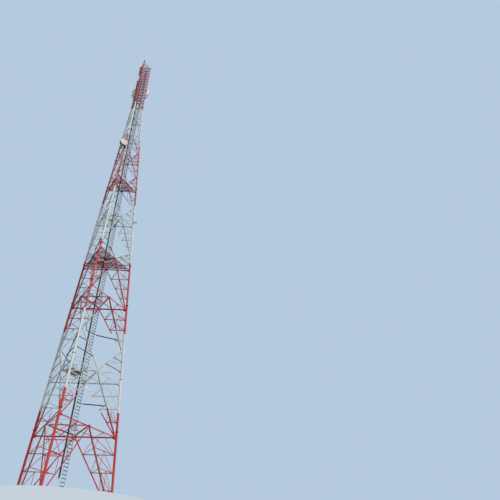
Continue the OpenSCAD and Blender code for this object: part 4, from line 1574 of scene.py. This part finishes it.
@dataclass
class AntennaDetail:
    """Rounded shell, end caps, connectors, U-bolts and clamped tails of one panel antenna."""

    mast: Mast
    width: float = 0.13
    depth: float = 0.06
    height: float = 0.56
    stand_off: float = 0.072
    corner: Pair = (0.004, 0.006)
    caps: tuple[Pair, ...] = ((0.0, 0.90), (0.008, 1.0), (0.022, 1.0), (0.0225, 0.975))
    clamp_lift: float = 0.2016
    clamp: Point = (0.052, 0.040, 0.030)
    clamp_x: float = 0.048
    bow: Point = (0.0255, 0.038, 0.0032)
    bow_plate: Point = (0.005, 0.066, 0.036)
    bow_plate_x: float = 0.030
    bow_nut: Pair = (0.006, 0.005)
    plug_gap: float = 0.026
    plug: tuple[Pair, ...] = ((0.011, 0.0), (0.011, 0.007), (0.0085, 0.008), (0.0085, 0.02))
    plug_y: float = 0.025
    tail: float = 0.0055

    def outline(self) -> list[Pair]:
        """Give the rounded plan of the shell as points outwards and sideways from its back's middle.

        Returns:
            The points, from one side to the other.
        """
        half, flat = self.width / 2, self.depth * 0.45
        dx, dy = self.corner
        turns = [math.pi * k / 8 for k in range(1, 8)]
        front = [(flat + (self.depth - flat) * math.sin(a) ** 0.7, -half * math.cos(a)) for a in turns]
        return [(0.0, dy - half), (dx, -half), (flat, -half), *front,
                (flat, half), (dx, half), (0.0, half - dy)]

    def shell(self, axes: Axes) -> None:
        """Build the shell, which stands for the plain CAD panel.

        Args:
            axes: Axes on the pipe.
        """
        sculptor = Sculptor(f"{self.mast.name()}_antenna_shell")
        back, half = self.depth / 2, self.height / 2
        caps = [(lift - half, scale) for lift, scale in self.caps]
        caps += [(half - lift, scale) for lift, scale in reversed(self.caps)]
        sculptor.skin([np.array([axes.at((x - back) * scale + back + self.stand_off, y * scale, z)
                                 for x, y in self.outline()]) for z, scale in caps])
        for z in (-self.clamp_lift, self.clamp_lift):
            sculptor.block(axes.at(self.clamp_x, 0, z), axes.rows, self.clamp, 0.003)
        piece = sculptor.finish(ANTENNA_SHELL, smooth=True)
        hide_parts(f"{self.mast.name()}_panel_antenna")

    def fittings(self, sculptor: Sculptor, axes: Axes) -> None:
        """Add the U-bolts round the pipe, their plates and nuts, and the connectors.

        Args:
            sculptor: What collects the forms.
            axes: Axes on the pipe.
        """
        radius, reach, wire = self.bow
        for z in (-self.clamp_lift, self.clamp_lift):
            arc = [math.radians(a) for a in range(90, 271, 20)]
            bow = [(math.cos(a) * radius, math.sin(a) * radius) for a in arc]
            sculptor.sweep([axes.at(x, y, z) for x, y in ((reach, radius), *bow, (reach, -radius))], wire)
            sculptor.block(axes.at(self.bow_plate_x, 0, z), axes.rows, self.bow_plate, 0.001)
            for y in (-radius, radius):
                nut = axes.at(self.bow_plate_x + self.bow_plate[0] / 2, y, z)
                sculptor.hexagon(nut, axes.along, *self.bow_nut)
        for y in (-self.plug_y, self.plug_y):
            plug = axes.at(self.stand_off + self.plug_gap, y, -self.height / 2)
            sculptor.lathe(plug, -UP, self.plug, 12)

    def tails(self, sculptor: Sculptor, axes: Axes) -> None:
        """Add the cable tails, from the connectors to the pipe.

        Args:
            sculptor: What collects the forms.
            axes: Axes on the pipe.
        """
        for y in (-self.plug_y, self.plug_y):
            start = axes.at(self.stand_off + self.plug_gap, y, -self.height / 2 - 0.018)
            knee = start - UP * 0.035
            inner = axes.at(0.0285, y * 0.35, -self.height / 2 - 0.09)
            route = [start, start - UP * 0.018, knee * 0.75 + inner * 0.25 - UP * 0.004,
                     knee * 0.35 + inner * 0.65, inner, inner - UP * 0.05]
            sculptor.sweep(route, self.tail, 8)

    def build(self) -> None:
        """Build the shell, its fittings and its cable tails."""
        axes = self.mast.axes(self.mast.facing)
        self.shell(axes)
        metal, tails = (Sculptor(f"{self.mast.name()}_antenna_{kind}") for kind in ("fittings", "tails"))
        self.fittings(metal, axes)
        self.tails(tails, axes)
        metal.finish(BRACKET_ZINC)
        tails.finish(FEEDER_JACKET, smooth=True)


@dataclass
class RadioDetail:
    """Cooling fins, lugs and connectors of the radio unit on one pipe."""

    mast: Mast
    size: Point = (0.06, 0.06, 0.15)
    near: float = 0.0523
    fins: int = 8
    fin: Pair = (0.013, 0.0022)
    lug_lifts: Point = (-0.045, 0.0, 0.045)
    plug: tuple[Pair, ...] = ((0.006, 0.0), (0.006, 0.012), (0.0045, 0.016))
    plug_gap: float = 0.018

    def build(self) -> None:
        """Build the finned housing, which stands against the CAD unit."""
        sculptor = Sculptor(f"{self.mast.name()}_radio_fins")
        axes = self.mast.axes(self.mast.leg.value)
        deep, wide, tall = self.size
        middle = self.near + deep / 2
        for y in ((k / (self.fins - 1) - 0.5) * wide * 0.92 for k in range(self.fins)):
            sculptor.block(axes.at(self.near + deep + 0.006, y), axes.rows, (*self.fin, tall * 0.9))
        for side, z in product((-1, 1), self.lug_lifts):
            spot = axes.at(middle, side * (wide / 2 + 0.002), z)
            sculptor.block(spot, axes.rows, (deep * 0.86, 0.005, 0.006), 0.001)
        for k in (-1, 0, 1):
            sculptor.lathe(axes.at(middle, k * self.plug_gap, -tall / 2), -UP, self.plug, 10)
        sculptor.finish(RADIO_CASTING)


@dataclass
class LegBracket:
    """A small dark clamp with a stub that stands out from the right leg above the middle diamond."""

    leg: Leg = Leg.RIGHT
    height: float = 15.39
    turn: float = -8.0
    stub: float = 0.13
    bar: float = 0.03
    end: Point = (0.03, 0.06, 0.05)
    bolt: Pair = (0.007, 0.006)
    collar: tuple[Pair, ...] = ((0.001, 0), (0.008, 0.002), (0.008, 0.038), (0.001, 0.04))

    def build(self) -> None:
        """Build the clamp and its stub."""
        sculptor = Sculptor("leg_stub_bracket")
        axis, middle = TOWER.leg_axis(self.leg, self.height), TOWER.leg_point(self.leg, self.height)
        radius = TOWER.leg_radius(self.height)
        sculptor.lathe(middle - axis * 0.02, axis, [(radius + out, d) for out, d in self.collar], 32)
        axes = Axes(self.turn, middle)
        size = (self.stub, self.bar, self.bar)
        sculptor.block(axes.at(radius + self.stub / 2, 0), axes.rows, size, 0.004)
        sculptor.block(axes.at(radius + self.stub, 0), axes.rows, self.end, 0.006)
        for side in (-1, 1):
            spot = axes.at(radius + 0.02, side * self.bar / 2)
            sculptor.hexagon(spot, axes.across * side, *self.bolt)
        sculptor.finish(BRACKET_ZINC)


@dataclass
class Studio:
    """The floor, the light, the backdrop and the camera."""

    floor_radius: float = 4.6
    floor_sides: int = 96
    backdrop: Colour = (0.46, 0.59, 0.73)
    ambient_colour: Colour = (0.82, 0.91, 1.0)
    ambient: float = 0.26
    sun_power: float = 2.9
    sun_width: float = 14.0
    sun_from: Point = (0.60, -0.72, 0.85)
    camera_place: Point = (6.0264, -20.566, -3.7115)
    camera_pitch: float = 36.519
    camera_turn: float = -4.541
    camera_roll: float = -0.068
    sensor: float = 36.0
    focal_pixels: float = 509.293
    image_pixels: float = 500.0

    def stand(self, name: str, data: bpy.types.ID) -> bpy.types.Object:
        """Put an object with some data in the scene.

        Args:
            name: Name of the object.
            data: Its data.

        Returns:
            The object.
        """
        thing = bpy.data.objects.new(name, data)
        bpy.context.scene.collection.objects.link(thing)
        return thing

    def floor(self) -> None:
        """Lay a plain pale disc under the tower, which looks as pale from beneath."""
        sheet = NodeSheet("floor_card")
        pale = sheet.mix(sheet.noise(Wear(0.5)), (0.78, 0.80, 0.82), (0.84, 0.86, 0.88))
        rough = sheet.grey(sheet.noise(Wear(2.0, 2)), (0.0, 1.0), 0.85, 0.95)
        card = sheet.dress(pale, rough, 0.0, sheet.noise(Wear(3.0, 2)), 0.0, 0.001)
        sheet.feed(sheet.shader.inputs["Emission Color"], (0.38, 0.42, 0.46))
        sheet.feed(sheet.shader.inputs["Emission Strength"], sheet.node("NewGeometry").outputs["Backfacing"])
        turns = [360 * k / self.floor_sides for k in range(self.floor_sides)]
        ring = [TOWER.placed(0, 0, -0.002) + heading(turn) * self.floor_radius for turn in turns]
        mesh = bpy.data.meshes.new("floor")
        mesh.from_pydata(ring, [], [tuple(range(self.floor_sides))])
        mesh.materials.append(card)
        self.stand("floor", mesh)

    def world(self) -> None:
        """Light the tower evenly, with a plain pale backdrop behind it."""
        world = bpy.data.worlds.new("studio")
        bpy.context.scene.world = world
        world.use_nodes = True
        tree = NodeTree(world.node_tree)
        light = tree.nodes["Background"]
        tree.feed(light.inputs["Color"], self.ambient_colour)
        tree.feed(light.inputs["Strength"], self.ambient)
        seen = tree.node("Background", {"Color": self.backdrop})
        path = tree.node("LightPath").outputs
        either = path["Is Camera Ray"]
        for kind in ("Is Glossy Ray", "Is Transmission Ray"):
            either = tree.math("MAXIMUM", either, path[kind])
        choice = tree.node("MixShader", {0: either, 1: light.outputs[0], 2: seen.outputs[0]})
        tree.feed(tree.nodes["World Output"].inputs["Surface"], choice.outputs[0])

    def sun(self) -> None:
        """Add one broad soft light from the front."""
        lamp = bpy.data.lights.new("soft_sun", "SUN")
        lamp.energy = self.sun_power
        lamp.angle = math.radians(self.sun_width)
        lamp.color = (1.0, 0.985, 0.96)
        turn = Vector(self.sun_from).to_track_quat("Z", "Y")
        self.stand("soft_sun", lamp).matrix_world = turn.to_matrix().to_4x4()

    def camera(self) -> None:
        """Stand the camera where the photograph was taken."""
        lens = bpy.data.cameras.new("camera")
        lens.sensor_width = self.sensor
        lens.sensor_fit = "HORIZONTAL"
        lens.lens = self.sensor * self.focal_pixels / self.image_pixels
        lens.clip_end = 400.0
        place = Matrix.Translation(self.camera_place)
        turns = ((self.camera_turn, "Z"), (90 + self.camera_pitch, "X"), (self.camera_roll, "Z"))
        for degrees, axis in turns:
            place = place @ Matrix.Rotation(math.radians(degrees), 4, axis)
        holder = self.stand("camera", lens)
        holder.matrix_world = place
        bpy.context.scene.camera = holder

    def build(self) -> None:
        """Build the whole studio."""
        bpy.context.scene.view_settings.view_transform = "Standard"
        self.floor()
        self.world()
        self.sun()
        self.camera()


def main() -> None:
    """Load the frame, dress it, add the fine pieces and set the studio."""
    logging.basicConfig(level=logging.INFO, format="%(name)s: %(message)s")
    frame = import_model()
    Studio().build()
    FrameDressing(frame["nodes"]).dress()
    for face in Face:
        FaceFasteners(face).build()
    for leg in Leg:
        LegFasteners(leg).build()
    for assembly in (AnchorBolts(), PlanFasteners(), PlatformMesh(), RestDeckDetail(), LadderStay(),
                     LadderHardware(), CableLadderHardware(), DishDetail()):
        assembly.build()
    for mast in MASTS:
        AntennaDetail(mast).build()
        if mast.radio:
            RadioDetail(mast).build()
    LegBracket().build()


if __name__ == "__main__":
    main()
